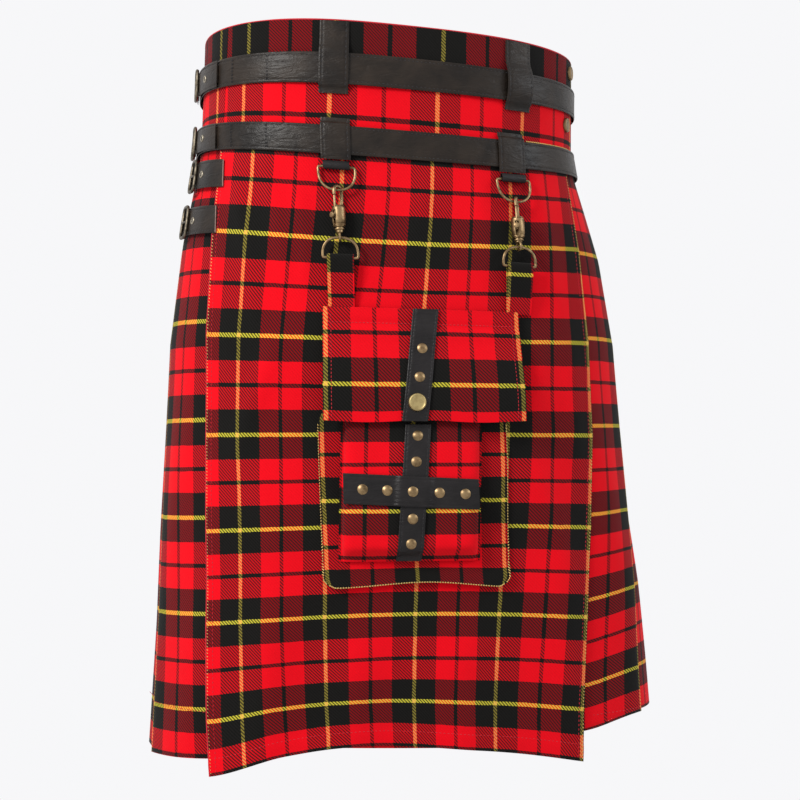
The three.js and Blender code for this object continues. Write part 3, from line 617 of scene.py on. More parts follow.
def pleat_line(side, z):
    """The level line of one half, as (arc length, out, warp place) points."""
    low, high, _ = pleat_row(z)
    start, folds = pleat_folds(side, z)
    count_start, count_folds = pleat_folds(side, COUNT_Z)
    line = []
    came_from, at = start, start
    for k, fold in enumerate(folds):
        width = count_folds[k] - (count_start if k == 0 else count_folds[k - 1])
        seen_from = start if k == 0 else folds[k - 1]
        wander = 1.1 * math.sin(z / 61 + 2.1 * k) * smooth((-120 - z) / 200)
        puff = 0.10 * math.sin(z / 83 + 1.3 * k + side) * (high - low) * smooth((-200 - z) / 200)
        steps = 14 if k == 0 else 9
        for j in range(1 if k else 0, steps):
            t = j / steps
            s = between(came_from, fold - FOLD + wander, t)
            bow = (1.1 if k else 0.5) * smooth((-150 - z) / 250)
            bow += (1.6 if k == 0 else 0.4) * math.sin(z / 47 + t * 5 + side) * smooth((-190 - z) / 200)
            out = between(low, high, t) + (puff + bow) * math.sin(math.pi * t)
            u = -width * (fold - s) / (fold - seen_from)
            line.append((s, out, u))
        turn_at = fold - FOLD + wander
        for j in range(5):
            turn = math.pi * j / 4
            line.append((turn_at + FOLD * math.sin(turn), high - FOLD + FOLD * math.cos(turn), j * 0.4))
        under = fold - PLEAT_DEPTH
        next_width = count_folds[k + 1] - count_folds[k] if k < PLEATS_A_SIDE else 0
        hidden = SETT - next_width * (1 + PLEAT_DEPTH / max(1.0, folds[min(k + 1, PLEATS_A_SIDE)] - fold))
        for j in range(1, 4):
            t = j / 4
            s = between(turn_at, under + FOLD, t)
            line.append((s, between(high - 2 * FOLD, low + 2 * FOLD, t), 1.6 + hidden * t))
        for j in range(5):
            turn = math.pi * j / 4
            line.append((under + FOLD - FOLD * math.sin(turn), low + FOLD + FOLD * math.cos(turn), hidden))
        came_from = under + FOLD
    line.append((half_round(z) - SEAM_GAP / 2, low, 40))
    return line


def pleats(side, name):
    columns = len(pleat_line(side, -300)) - 1
    rows = 84
    levels = {}

    def shape(a, b):
        z = between(-56.3, HEM_Z, b)
        key = round(z, 3)
        if key not in levels:
            levels[key] = pleat_line(side, z)
        column = round(a * columns) if side > 0 else columns - round(a * columns)
        s, out, warp = levels[key][column]
        lift = side * pleat_row(z)[2] * x_share(s, z)
        if side > 0:
            swell = smooth((s - 140) / 75) * (1 - smooth((s - 250) / 160))
            lift += 9 * swell * smooth((-330 - z) / 180)
        weft = between(weft_at(z, SIDE_WEFT[side]), weft_at(z, BACK_WEFT), smooth((s - 260) / 160))
        check = (side * warp * MM, weft * MM)
        return place(side * s, z, out, lift), check, (side * s * MM, -z * MM)

    return cloth(name, columns, rows, shape, PLEAT_CLOTH, side=0.0, edge=0)


for side, word in ((-1, "left"), (1, "right")):
    wrap = keep(pleats(side, f"pleat_cloth_{word}"), f"pleats_{word}", checked_wool)
    print(word, "folds at the hem:", [round(f) for f in pleat_folds(side, HEM_Z)[1]])

# %% [markdown]
# ## The yoke
# The yoke is the flat band round the waist that holds the pleats. It has a front part, which
# laps over the back part at the right hip, where two snaps close it. The two parts could be
# one ring, but the lap is how the garment opens. Above the upper belt the band shows another
# part of the check than below it, because a turned-over facing was sewn there.

# %% Yoke
YOKE_LEFT, YOKE_RIGHT, LAP = -0.34, 0.46, 24
INNER_OUT = -0.1
YOKE_YELLOW_S = [-298, -220, -142, -63.5, 29.5] + [108 + 79.3 * k for k in range(10)]
BACK_YELLOW_S, BACK_YELLOW_COUNT = -178.5, 14


def yoke_warp(s, z):
    """The front's yellow lines are listed, and the back's are counted from its left end."""
    front = float(np.interp(s, YOKE_YELLOW_S, [SETT * k for k in range(len(YOKE_YELLOW_S))]))
    back = s - 2 * half_round(z) - BACK_YELLOW_S + SETT * BACK_YELLOW_COUNT
    return between(front, back, smooth((s - 300) / 350))


def yoke_weft(z):
    """Millimetres down the check: the rim band is black, the band between the belts is red."""
    if z > 0:
        return (4.5 - z) * 0.57
    return -39 + (-45 - z) * (0.6 if z > -45 else 1.0)


def yoke_spot(s, z, out):
    warp = yoke_warp(s - 4.5 * smooth(z / 12), z)
    return place(s, z, out + CLOTH), (warp * MM, yoke_weft(z) * MM), (s * MM, -z * MM)


def yoke_front_shape(a, b):
    z = between(RIM_Z, YOKE_BOTTOM_Z + SEAM_GAP, b)
    half = half_round(z)
    s = between(YOKE_LEFT * half, YOKE_RIGHT * half, a)
    ripple = 0.25 * math.sin(s / 17) * math.sin(s / 41 + 1) * smooth(abs(z) / 20)
    return yoke_spot(s, z, APRON_OUT + ripple)


def yoke_back_shape(a, b):
    z = between(RIM_Z, YOKE_BOTTOM_Z + SEAM_GAP, b)
    half = half_round(z)
    end = YOKE_RIGHT * half
    s = between(end - LAP, (2 + YOKE_LEFT) * half - SEAM_GAP, a)
    rise = smooth((s - end - 1) / 10)
    return yoke_spot(s, z, INNER_OUT + (APRON_OUT - INNER_OUT) * rise)


yoke_front = cloth("yoke_cloth_front", 120, 38, yoke_front_shape, CLOTH)
yoke_back = cloth("yoke_cloth_back", 150, 38, yoke_back_shape, CLOTH)
keep(yoke_front, "yoke_front", checked_wool)
keep(yoke_back, "yoke_back", checked_wool)

# %% [markdown]
# ## Leather strips
# Belts, loops and straps are strips of leather with a rolled edge and a pressed line where the
# stitches run. A strip could be a flat ribbon with a bevel, but then the light would show no
# line along the edge. Here the grid has narrow rows near both edges, and a small relief drops
# the edge and presses the stitch line in.

# %% Strip helpers
ACROSS = [0, 0.015, 0.04, 0.075, 0.1, 0.125, 0.2, 0.5, 0.8, 0.875, 0.9, 0.925, 0.96, 0.985, 1]
RELIEF = [-0.6, -0.28, -0.06, 0, -0.3, 0, 0.08, 0.14, 0.08, 0, -0.3, 0, -0.06, -0.28, -0.6]
STITCH_LINE = 0.1


def leather_strip(name, columns, spot, wall, join=False):
    """spot(a, b, relief) gives a point for a along the strip and b across it."""
    rows = len(ACROSS) - 1

    def shape(a, b):
        row = round(b * rows)
        return spot(a, ACROSS[row], RELIEF[row]), (a, b)

    return cloth(name, columns, rows, shape, wall, edge=0.3, join=join)


def rounded(points, turns=2, closed=False):
    """Cuts the corners of a line of points, which rounds it."""
    for _ in range(turns):
        pairs = list(zip(points, points[1:] + points[:1] if closed else points[1:]))
        cut = [] if closed else [points[0]]
        for a, b in pairs:
            cut.append(tuple(between(u, v, 0.25) for u, v in zip(a, b)))
            cut.append(tuple(between(u, v, 0.75) for u, v in zip(a, b)))
        points = cut if closed else cut + [points[-1]]
    return points


# %% [markdown]
# ## The belts
# Two leather belts run round the waist through loops. On the left hip a second layer, the
# tongue, lies over each belt, with its buckle behind it. Long belts are never quite flat, so
# their surface rises and falls by a fraction of a millimetre.

# %% Belts and tongues
BELTS = {"upper": (-3, 27.5), "lower": (-65, 25)}
BELT_THICK, BELT_OUT = 2.4, 3.3
TONGUE_OUT, TONGUE_FRONT, TONGUE_BACK = 6.0, -172, -262


def belt_out(s, z):
    return 0.25 * math.sin(s / 19 + z / 9) + 0.2 * math.sin(s / 43 + 2) + 0.15 * math.sin(z / 5 + s / 31)


for word, (middle, width) in BELTS.items():
    def belt_spot(a, b, relief):
        z = middle + width * (0.5 - b)
        s = between(-1, 1, a) * half_round(z)
        wave = belt_out(s, z) * smooth((1 - abs(2 * a - 1)) * 20)
        return place(s, z, BELT_OUT + BELT_THICK + relief + wave)

    def tongue_spot(a, b, relief):
        z = middle + (width - 1) * (0.5 - b)
        s = between(TONGUE_BACK, TONGUE_FRONT, a)
        return place(s, z, TONGUE_OUT + 2 + relief)

    belt = leather_strip(f"belt_leather_{word}", 300, belt_spot, BELT_THICK, join=True)
    keep(belt, f"belt_{word}", belt_leather)
    tongue = leather_strip(f"tongue_leather_{word}", 34, tongue_spot, 1.8)
    keep(tongue, f"belt_tongue_{word}", belt_leather)
    print(word, "belt", width, "mm wide")

# %% [markdown]
# ## Belt loops
# Each loop is a leather tab sewn to the yoke above and below a belt, bowed out over it. The
# right upper loop stands away from the belt. The line from its top to its bottom is a list of
# heights and distances with its corners cut.

# %% Loops
LOOP_WIDTH = 25


def upper_loop(bow):
    top = [(38, 3.1), (19, 3.4), (13.5, 6.4), (4, 6.7 + bow)]
    return top + [(-8, 6.7 + bow), (-17.6, 6.4), (-20.6, 3.6), (-25, 3.1)]


LOWER_LOOP = [(-46, 3.1), (-49.5, 3.6), (-51.5, 6.3), (-65, 6.8), (-78.5, 6.4), (-82, 5.5)]
BACK_LOOP = [
    (38, 3.1), (19, 3.4), (13.5, 6.4), (-17.6, 6.4), (-21.5, 3.6), (-46, 3.6), (-51.5, 6.6),
    (-78.5, 6.6), (-82, 4.3), (-90, 4.0),
]
HANG_S = {"left": -58, "right": 95}
LOOPS = {
    "upper_left": (-60, upper_loop(0.3)), "upper_right": (102, upper_loop(2.5)),
    "back_left": (-390, BACK_LOOP), "back_right": (390, BACK_LOOP),
    "lower_left": (HANG_S["left"], LOWER_LOOP), "lower_right": (HANG_S["right"], LOWER_LOOP),
}
for word, (middle, stops) in LOOPS.items():
    line = rounded(stops, 3)
    heights, outs = zip(*line)

    def loop_spot(a, b, relief):
        k = a * (len(line) - 1)
        z = float(np.interp(k, range(len(line)), heights))
        out = float(np.interp(k, range(len(line)), outs))
        return place(middle + LOOP_WIDTH * (b - 0.5), z, out + CLOTH + relief * 0.7)

    loop = leather_strip(f"loop_leather_{word}", len(line) - 1, loop_spot, CLOTH)
    loop.data.flip_normals()
    keep(loop, f"loop_{word}", belt_leather)
print("loops:", len(LOOPS))

# %% [markdown]
# ## The hanging pouch
# The pouch is a flat checked panel with a pocket on it and a flap over the pocket. The panel
# hangs on two straps. Its lower part is free and curls a little. The pocket is a box pleat of
# cloth: sewn flat at its sides, then standing out from the panel with rounded corners. Filling
# it by a simulation is possible, but its corners and its sag are simple enough to draw.

# %% Panel
BAG_MIDDLE, BAG_WIDTH, BAG_TOP, BAG_BOTTOM, BAG_OUT, BAG_THICK = 1, 160, -206, -444, 3.3, 1.4
BAG_CREASES = [
    (-72, -330, -70, -420, 10, 0.8), (66, -320, 72, -430, 12, 1.3), (-40, -436, 40, -440, 9, 1.0),
    (-80, -428, -58, -446, 9, 2.0), (60, -440, 82, -430, 8, 1.6),
]


def panel_shape(a, b):
    z = between(BAG_TOP, BAG_BOTTOM, b)
    sway = 1.6 * math.sin(math.pi * b * 1.4 + 0.4) * smooth((b - 0.35) / 0.3)
    hidden = 7 * smooth((z + 300) / 14)
    sway = (sway if a > 0.5 else hidden - 0.4 * sway) * abs(2 * a - 1)
    s = BAG_MIDDLE + BAG_WIDTH * (a - 0.5) + sway
    corner = 6 * smooth((b - 0.95) / 0.05) ** 2 * smooth((abs(2 * a - 1) - 0.86) / 0.14)
    s -= math.copysign(corner * 0.5, a - 0.5)
    rise = (0.5 * math.sin(s / 21) + 4.5 * math.sin(math.pi * a) ** 2) * smooth((a * (1 - a)) * 20)
    rise += 1.5 + corner * 0.4
    out = BAG_OUT + BAG_THICK + max(-0.4, crease_height(BAG_CREASES, s, z)) + max(0, 2.2 * (b - 0.93) / 0.07)
    flat_s = BAG_WIDTH * (a - 0.5)
    return place(s, z + rise * smooth((b - 0.9) / 0.1), out), ((flat_s + 0.5) * 1.02 * MM, (-369 - z) * MM)


bag_panel = cloth("bag_panel", 64, 88, panel_shape, BAG_THICK)
keep(bag_panel, "bag_back", checked_wool)

# %% [markdown]
# The flap covers the mouth of the pocket. It is sewn along its top edge, so a soft crease runs
# below the seam, and it stands off further down, where the pocket is under it.

# %% Flap
FLAP_MIDDLE, FLAP_WIDTH, FLAP_BOTTOM = 10, 168, -302
FLAP_CREASES = [
    (-80, -219, 100, -221, 3.2, -1.2), (-80, -227, 100, -228, 5, 0.9), (-60, -240, -66, -300, 12, 0.9),
    (70, -245, 82, -300, 13, 1.2), (-20, -262, -30, -302, 14, -0.5), (40, -255, 46, -302, 12, 0.6),
]


def flap_out(z):
    return BAG_OUT + BAG_THICK + SEAM_GAP + 12.4 * smooth((BAG_TOP - z) / (BAG_TOP - FLAP_BOTTOM) * 1.15)


def flap_shape(a, b):
    z = between(BAG_TOP, FLAP_BOTTOM, b)
    flat_s = FLAP_WIDTH * (a - 0.5)
    s = FLAP_MIDDLE + flat_s
    hem = 0.9 * math.sin(s / 15 + 1) * smooth((b - 0.7) / 0.3)
    out = flap_out(z) + CLOTH + crease_height(FLAP_CREASES, s, z) * smooth(b * 12)
    return place(s, z + hem, out), (flat_s * 0.957 * MM, (-271 - z) / 1.12 * MM)


bag_flap = cloth("bag_flap_cloth", 70, 44, flap_shape, CLOTH)
keep(bag_flap, "bag_flap", checked_wool)

# %% [markdown]
# The pocket's level line is listed for one side and mirrored, and its corners are cut to
# rounds. Its depth grows downwards, because cloth sags where it holds something.

# %% Pocket
POUCH_MIDDLE, POUCH_LEAN, POUCH_WIDTH, POUCH_TOP, POUCH_BOTTOM = 0.5, 6, 112, -292, -420
POUCH_BASE = BAG_OUT + BAG_THICK + SEAM_GAP
POUCH_CREASES = [
    (-46, -330, -38, -410, 9, 0.8), (40, -372, 46, -412, 10, 1.1), (-40, -404, -6, -412, 6, 0.9),
    (20, -398, 48, -408, 7, 1.3), (-30, -300, -26, -345, 9, -0.5), (30, -302, 24, -350, 10, 0.6),
]


def pouch_down(z):
    return (POUCH_TOP - z) / (POUCH_TOP - POUCH_BOTTOM)


def pouch_middle(z):
    return POUCH_MIDDLE - POUCH_LEAN * pouch_down(z)


def pouch_out(z):
    down = pouch_down(z)
    puff = 4.5 * smooth(0.25 + down * 2) + 3.5 * smooth(down * 1.4)
    return 9.9 + puff - 11 * smooth((down - 0.9) / 0.1)


def pouch_line(z):
    depth = pouch_out(z) - POUCH_BASE
    half = POUCH_WIDTH / 2
    bend = min(5, depth * 0.6)
    side = [(-half - 4, 0.6), (-half - 0.8, 0.6), (-half + 0.2, depth * 0.3), (-half + 0.4, depth * 0.75),
            (-half + 0.4 + bend, depth)]
    front = [(t * half, depth) for t in (-0.75, -0.6, -0.45, -0.3, -0.15, 0, 0.15, 0.3, 0.45, 0.6, 0.75)]
    return rounded(side + front + [(-s, out) for s, out in reversed(side)], 2)


POUCH_COLUMNS = len(pouch_line(-350)) - 1


def pouch_shape(a, b):
    z = between(POUCH_TOP, POUCH_BOTTOM, b)
    s, out = pouch_line(z)[round(a * POUCH_COLUMNS)]
    lift = crease_height(POUCH_CREASES, s, z) * smooth((0.5 - abs(a - 0.5)) * 7)
    spot = place(s + pouch_middle(z), z, POUCH_BASE + out + lift)
    return spot, (s * MM, (-377.5 - z) * MM)


pouch = cloth("bag_pouch_cloth", POUCH_COLUMNS, 60, pouch_shape, CLOTH, side=0.0)
keep(pouch, "bag_pouch", checked_wool)
print("pocket front stands out", round(pouch_out(-380) - POUCH_BASE, 1), "mm")

# %% [markdown]
# The hangers are folded strips of the same cloth that carry the panel from the lower rings.
# Each one is drawn as the closed line of its fold and has the check's yellow line on an edge.

# %% Hangers and ring tabs
HANGER_WIDTH, TAB_WIDTH = 22, 22
HANGER_LINE = [
    (-161.2, 9), (-164.4, 12.2), (-176, 11), (-190, 8.5), (-203.9, 6.3), (-209.5, 5), (-203.9, 3.5),
    (-190, 4.7), (-176, 5.8), (-164.4, 5.8),
]
TAB_LINE = [(-82.4, 6.4), (-85, 9.2), (-88.2, 9.7), (-91.5, 6.4), (-88.2, 3.1), (-85, 3.8)]
HANGER_YELLOW = {"left": (-10, -158), "right": (-10.5, -173)}


def folded(name, middle, width, line, wall, yellow=(0, 0)):
    path = rounded(line, 2, closed=True)
    path.append(path[0])

    def shape(a, b):
        z, out = path[round(b * (len(path) - 1))]
        across = width * (a - 0.5)
        check = ((across - yellow[0]) * MM, (yellow[1] - z) * MM)
        return place(middle + across, z, out), check

    return cloth(name, 12, len(path) - 1, shape, wall, edge=0.2, join=True)


for word, middle in HANG_S.items():
    hanger = folded(f"hanger_cloth_{word}", middle, HANGER_WIDTH, HANGER_LINE, 1.1, HANGER_YELLOW[word])
    keep(hanger, f"hanger_{word}", checked_wool)
    tab = folded(f"tab_leather_{word}", middle, TAB_WIDTH, TAB_LINE, 1.1)
    keep(tab, f"ring_tab_{word}", strap_leather)

# %% [markdown]
# ## Straps on the pouch
# A leather strap runs down the flap and on down the pocket, and a shorter one crosses the
# pocket. They lean a little, as they were sewn by eye. They follow the surface under them, and
# the cross strap rises where it passes over the long one.

# %% Pouch straps
STRAP_WIDTH, STRAP_THICK, CROSS_Z, CROSS_WIDTH, CROSS_MIDDLE, CROSS_FALL = 22, 1.9, -361, 26, -3.5, 0.05
POUCH_STRAP_TOP = -304.5


def flap_strap_middle(z):
    return between(13, 0.5, (BAG_TOP - z) / (BAG_TOP - FLAP_BOTTOM))


def pouch_strap_middle(z):
    return between(4, -7, (POUCH_STRAP_TOP - z) / (POUCH_STRAP_TOP - POUCH_BOTTOM))


def on_flap(s, z):
    return flap_out(z) + CLOTH + SEAM_GAP + STRAP_THICK


def on_pouch(s, z):
    return pouch_out(z) + CLOTH / 2 + SEAM_GAP + STRAP_THICK


def on_cross(s, z):
    near = smooth((STRAP_WIDTH / 2 + 6 - abs(s - pouch_strap_middle(z))) / 5)
    return on_pouch(s, z) + (STRAP_THICK + SEAM_GAP) * near


def flap_strap_spot(a, b, relief):
    z = between(BAG_TOP, FLAP_BOTTOM, a)
    s = flap_strap_middle(z) + STRAP_WIDTH * (b - 0.5)
    return place(s, z, on_flap(s, z) + relief)


def pouch_strap_spot(a, b, relief):
    z = between(POUCH_STRAP_TOP, POUCH_BOTTOM, a)
    s = pouch_strap_middle(z) + STRAP_WIDTH * (b - 0.5)
    return place(s, z, on_pouch(s, z) + relief)


def cross_strap_spot(a, b, relief):
    z = CROSS_Z + CROSS_WIDTH * (0.5 - b)
    s = CROSS_MIDDLE + POUCH_WIDTH * (a - 0.5)
    return place(s, z, on_cross(s, z) + relief, -CROSS_FALL * (s - CROSS_MIDDLE))


for name, node, columns, spot, turned_over in (
    ("flap_strap", "bag_flap_strap", 40, flap_strap_spot, True),
    ("pouch_strap", "bag_pouch_strap", 46, pouch_strap_spot, True),
    ("cross_strap", "bag_cross_strap", 60, cross_strap_spot, False),
):
    strap = leather_strip(name, columns, spot, STRAP_THICK)
    if turned_over:
        strap.data.flip_normals()
    keep(strap, node, strap_leather)

# %% [markdown]
# ## Hip straps
# Two short straps on the left hip pull the under wrap tight. Each has an eyelet and a buckle,
# and a pale cut edge at its end.

# %% Hip straps
HIP_STRAPS = {"upper": (-97, -164, -234), "lower": (-135, -172, -242)}
HIP_WIDTH = 23


def hip_out(s, front):
    return 3.4 + 1.2 * smooth((front - s) / 20) + 2


for word, (middle, front, back) in HIP_STRAPS.items():
    def hip_spot(a, b, relief):
        s = between(back, front, a)
        return place(s, middle + HIP_WIDTH * (0.5 - b), hip_out(s, front) + relief)

    strap = leather_strip(f"hip_strap_leather_{word}", 30, hip_spot, 2)
    keep(strap, f"hip_strap_{word}", belt_leather)

# %% [markdown]
# ## Turned and bent metal
# Rivets, snaps and eyelets are turned shapes: a profile that is spun once round. Rings, hooks
# and buckles are bent wire: a line with a round section. Each small part is made standing at
# the origin and then set on the surface by a frame, whose third axis points out of the cloth.

# %% Metal helpers


def seat(s, z, out):
    across = place(s + 1, z, out(s + 1, z)) - place(s - 1, z, out(s - 1, z))
    up = place(s, z + 1, out(s, z + 1)) - place(s, z - 1, out(s, z - 1))
    normal = across.cross(up).normalized()
    across.normalize()
    frame_here = Matrix((across, normal.cross(across), normal)).transposed().to_4x4()
    return Matrix.Translation(place(s, z, out(s, z))) @ frame_here


def add_turned(bm, profile, where, steps=24):
    small = bmesh.new()
    points = [small.verts.new((r * MM, 0, h * MM)) for r, h in profile]
    for a, b in zip(points, points[1:]):
        small.edges.new((a, b))
    bmesh.ops.spin(
        small, geom=small.verts[:] + small.edges[:], cent=(0, 0, 0), axis=(0, 0, 1),
        angle=2 * math.pi, steps=steps, use_merge=True,
    )
    bmesh.ops.remove_doubles(small, verts=small.verts, dist=0.001 * MM)
    bmesh.ops.recalc_face_normals(small, faces=small.faces)
    bmesh.ops.transform(small, matrix=where, verts=small.verts)
    add_all(bm, small)


def add_all(bm, small):
    mesh = bpy.data.meshes.new("part")
    small.to_mesh(mesh)
    small.free()
    bm.from_mesh(mesh)
    bpy.data.meshes.remove(mesh)


def add_wire(bm, points, radius, closed=False, sides=3):
    line = bpy.data.curves.new("wire", "CURVE")
    line.dimensions = "3D"
    line.bevel_depth, line.bevel_resolution = radius * MM, sides
    line.use_fill_caps = True
    spline = line.splines.new("POLY")
    spline.points.add(len(points) - 1)
    for point, spot in zip(spline.points, points):
        point.co = (*spot, 1)
    spline.use_cyclic_u = closed
    holder = bpy.data.objects.new("wire", line)
    mesh = bpy.data.meshes.new_from_object(holder)
    small = bmesh.new()
    small.from_mesh(mesh)
    bmesh.ops.remove_doubles(small, verts=small.verts, dist=0.001 * MM)
    bmesh.ops.recalc_face_normals(small, faces=small.faces)
    add_all(bm, small)
    bpy.data.objects.remove(holder)
    bpy.data.curves.remove(line)
    bpy.data.meshes.remove(mesh)


def finished(name, bm, smooth_faces=True):
    for face in bm.faces:
        face.smooth = smooth_faces
    mesh = bpy.data.meshes.new(name)
    bm.to_mesh(mesh)
    bm.free()
    mesh.set_sharp_from_angle(angle=math.radians(42))
    piece = bpy.data.objects.new(name, mesh)
    collection.objects.link(piece)
    return piece


# %% [markdown]
# A rivet is a low dome, and a snap is a flat cap with a raised rim. Each could be modelled where
# it sits, but one profile a kind, spun at every place on a list, keeps them alike.

# %% Rivets and snaps
RIVET = [
    (0, 1.9), (1.6, 1.75), (2.9, 1.35), (3.7, 0.8), (4.1, 0.55), (4.4, 0.3), (4.4, 0.0),
    (0, 0.0),
]
SNAP_CAP = [
    (0, 2.4), (4.2, 2.35), (5.6, 2.5), (6.4, 2.9), (7.2, 2.6), (7.7, 1.6), (7.8, 0.6),
    (7.8, 0.0), (0, 0.0),
]
RIVETS = {
    "flap": (on_flap, [(flap_strap_middle(z), z) for z in (-240, -264.5)]),
    "pouch": (on_pouch, [(pouch_strap_middle(z), z) for z in (-314, -336, -384, -405)]),
    "cross": (on_cross, [(s, CROSS_Z) for s in (-44, -24, -3, 19.6, 41)]),
}
for word, (out, spots) in RIVETS.items():
    bm = bmesh.new()
    for s, z in spots:
        fall = Matrix.Translation((0, 0, -CROSS_FALL * (s - CROSS_MIDDLE) * MM if word == "cross" else 0))
        add_turned(bm, RIVET, fall @ seat(s, z, out))
    nodes = [f"rivet_{word}_{k + 1}" for k in range(len(spots))]
    keep(finished(f"rivets_{word}", bm), nodes, aged_brass)
bm = bmesh.new()
add_turned(bm, SNAP_CAP, seat(flap_strap_middle(-286), -286, on_flap), 36)
keep(finished("flap_snap", bm), "snap_flap", bright_brass)
for word, (s, z) in {"upper": (182, 26), "lower": (171, -28)}.items():
    bm = bmesh.new()
    cap = [(r * 0.83, h * 0.87) for r, h in SNAP_CAP]
    add_turned(bm, cap, seat(s, z, lambda s, z: APRON_OUT + CLOTH + SEAM_GAP), 30)
    keep(finished(f"yoke_cap_{word}", bm), f"yoke_snap_{word}", aged_brass)

# %% [markdown]
# An eyelet is a flat turned ring. Its hole could be cut through the strap, but only dark leather
# lies behind it, so a small black disc stands for it.

# %% Eyelets
EYELET = [(2.0, 0.0), (2.0, 0.5), (2.3, 0.75), (2.8, 0.75), (3.2, 0.45), (3.3, 0.0), (2.0, 0.0)]
EYELETS = [
    (-196, -3, lambda s, z: TONGUE_OUT + 2.1), (-198, -65, lambda s, z: TONGUE_OUT + 2.1),
    (-196, -97, lambda s, z: hip_out(s, -164) + 0.1), (-206, -135, lambda s, z: hip_out(s, -172) + 0.1),
]
rings, holes = bmesh.new(), bmesh.new()
for s, z, out in EYELETS:
    add_turned(rings, EYELET, seat(s, z, out))
    add_turned(holes, [(0, 0.12), (2.1, 0.12), (2.1, 0.0), (0, 0.0)], seat(s, z, out), 16)
keep(finished("eyelets", rings), None, worn_silver)
keep(finished("eyelet_holes", holes), None, black_thread)

# %% [markdown]
# Buckles are closed frames of thick wire with a prong across. A superellipse gives the
# rounded-square outline of a buckle, and a bar with a bow on it gives the D-rings.

# %% Buckles and rings
WIRE_STEPS = 48


def bent(value, power):
    return math.copysign(abs(value) ** power, value)


def frame_line(s, z, across, high, out, power=0.45):
    line = []
    for k in range(WIRE_STEPS):
        turn = 2 * math.pi * k / WIRE_STEPS
        dz = bent(math.sin(turn), power) * high / 2
        line.append(place(s + bent(math.cos(turn), power) * across / 2, z + dz, out))
    return line


BUCKLES = {
    "belt_buckle_upper": (-232, -3, 9.6, 30), "belt_buckle_lower": (-232, -65, 9.6, 30),
    "hip_buckle_upper": (-218, -97, 8.2, 26), "hip_buckle_lower": (-226, -135, 8.2, 26),
}
for node, (s, z, out, high) in BUCKLES.items():
    bm = bmesh.new()
    add_wire(bm, frame_line(s, z, 19, high, out), 1.5, closed=True)
    prong = [
        place(s + t * 19, z, out + 0.8 * math.sin(math.pi * (t + 0.5)))
        for t in (-0.5, -0.25, 0, 0.25, 0.56)
    ]
    add_wire(bm, prong, 1.0)
    add_wire(bm, [place(s - 9.5, z + t * high, out) for t in (-0.46, 0, 0.46)], 1.1)
    keep(finished(f"{node}_frame", bm), node, dark_silver)


def ring_line(s, flat_z, round_z, width, out):
    """A D: a straight bar at one height and a round bow to the other."""
    reach = round_z - flat_z
    points = [(0, 0), (-0.46, 0)]
    for k in range(25):
        turn = math.pi * k / 24
        points.append((-0.5 * bent(math.cos(turn), 0.9), 0.06 + 0.94 * math.sin(turn) ** 0.72))
    points += [(0.46, 0)]
    line = rounded(points, 1, closed=True)
    spots = [(s + across * width, flat_z + share * reach) for across, share in line]
    return [place(at, z, out(z)) for at, z in spots]


TAB_Z, TAB_OUT, HANGER_Z = -88.2, 6.4, -165.4
BAR_Z, LOW_BAR_Z, HOOK_OUT = -108.3, -148.3, 9
# height of the straight bar, height of the bow, width, wire, solid
RINGS = {
    "top_ring": (TAB_Z, BAR_Z, 31, 1.15, "d_ring"),
    "low_ring": (HANGER_Z, LOW_BAR_Z, 29.5, 1.25, "hook_ring"),
}


def ring_out(z):
    return between(TAB_OUT, HOOK_OUT, min(1.0, (TAB_Z - z) / (TAB_Z - BAR_Z)))


for word, s in HANG_S.items():
    for name, (bar, bow, width, wire, node) in RINGS.items():
        bm = bmesh.new()
        add_wire(bm, ring_line(s, bar, bow, width, ring_out), wire, closed=True)
        keep(finished(f"{name}_{word}", bm), f"{node}_{word}", aged_brass)

# %% [markdown]
# ## The snap hooks
# A bolt snap is a hook whose mouth is closed by a spring bolt in a barrel. A thumb knob on the
# bolt slides in a slot of the barrel, and an eye below turns on a post. The hook is wire, the
# barrel and post are turned, and the slot is cut by a Boolean, because a real slot shows the
# bolt inside it. The bolt is a piece of its own that rides on its own body.

# %% Snap hooks
HOOK = {"wire": 1.5, "bow": 4.2, "bolt": 4.0, "knob": -22}
GATE_TURN = {"left": math.pi * 0.25, "right": math.pi * 0.3}


def hook_frame(word):
    s = HANG_S[word]
    top, low = place(s, BAR_Z, HOOK_OUT), place(s, LOW_BAR_Z, HOOK_OUT)
    up = (top - low).normalized()
    out = place(s, BAR_Z, 10) - place(s, BAR_Z, 0)
    out.z = 0
    out.normalize()
    along = -Vector((0, 0, 1)).cross(out)
    gate = along * math.cos(GATE_TURN[word]) + out * math.sin(GATE_TURN[word])
    normal = up.cross(gate).normalized()
    gate = normal.cross(up)
    axes = Matrix((gate, normal, up)).transposed().to_4x4()
    return Matrix.Translation(top) @ axes, 0.8 - (top - low).length / MM


def carve(piece, cutter):
    cut = piece.modifiers.new("cut", "BOOLEAN")
    cut.object, cut.operation, cut.solver = cutter, "DIFFERENCE", "EXACT"
    bpy.context.view_layer.update()
    mesh = bpy.data.meshes.new_from_object(piece.evaluated_get(bpy.context.evaluated_depsgraph_get()))
    piece.modifiers.remove(cut)
    clean = bmesh.new()
    clean.from_mesh(mesh)
    bmesh.ops.dissolve_degenerate(clean, dist=0.01 * MM, edges=clean.edges)
    clean.to_mesh(mesh)
    clean.free()
    piece.data = mesh
    bpy.data.objects.remove(cutter)


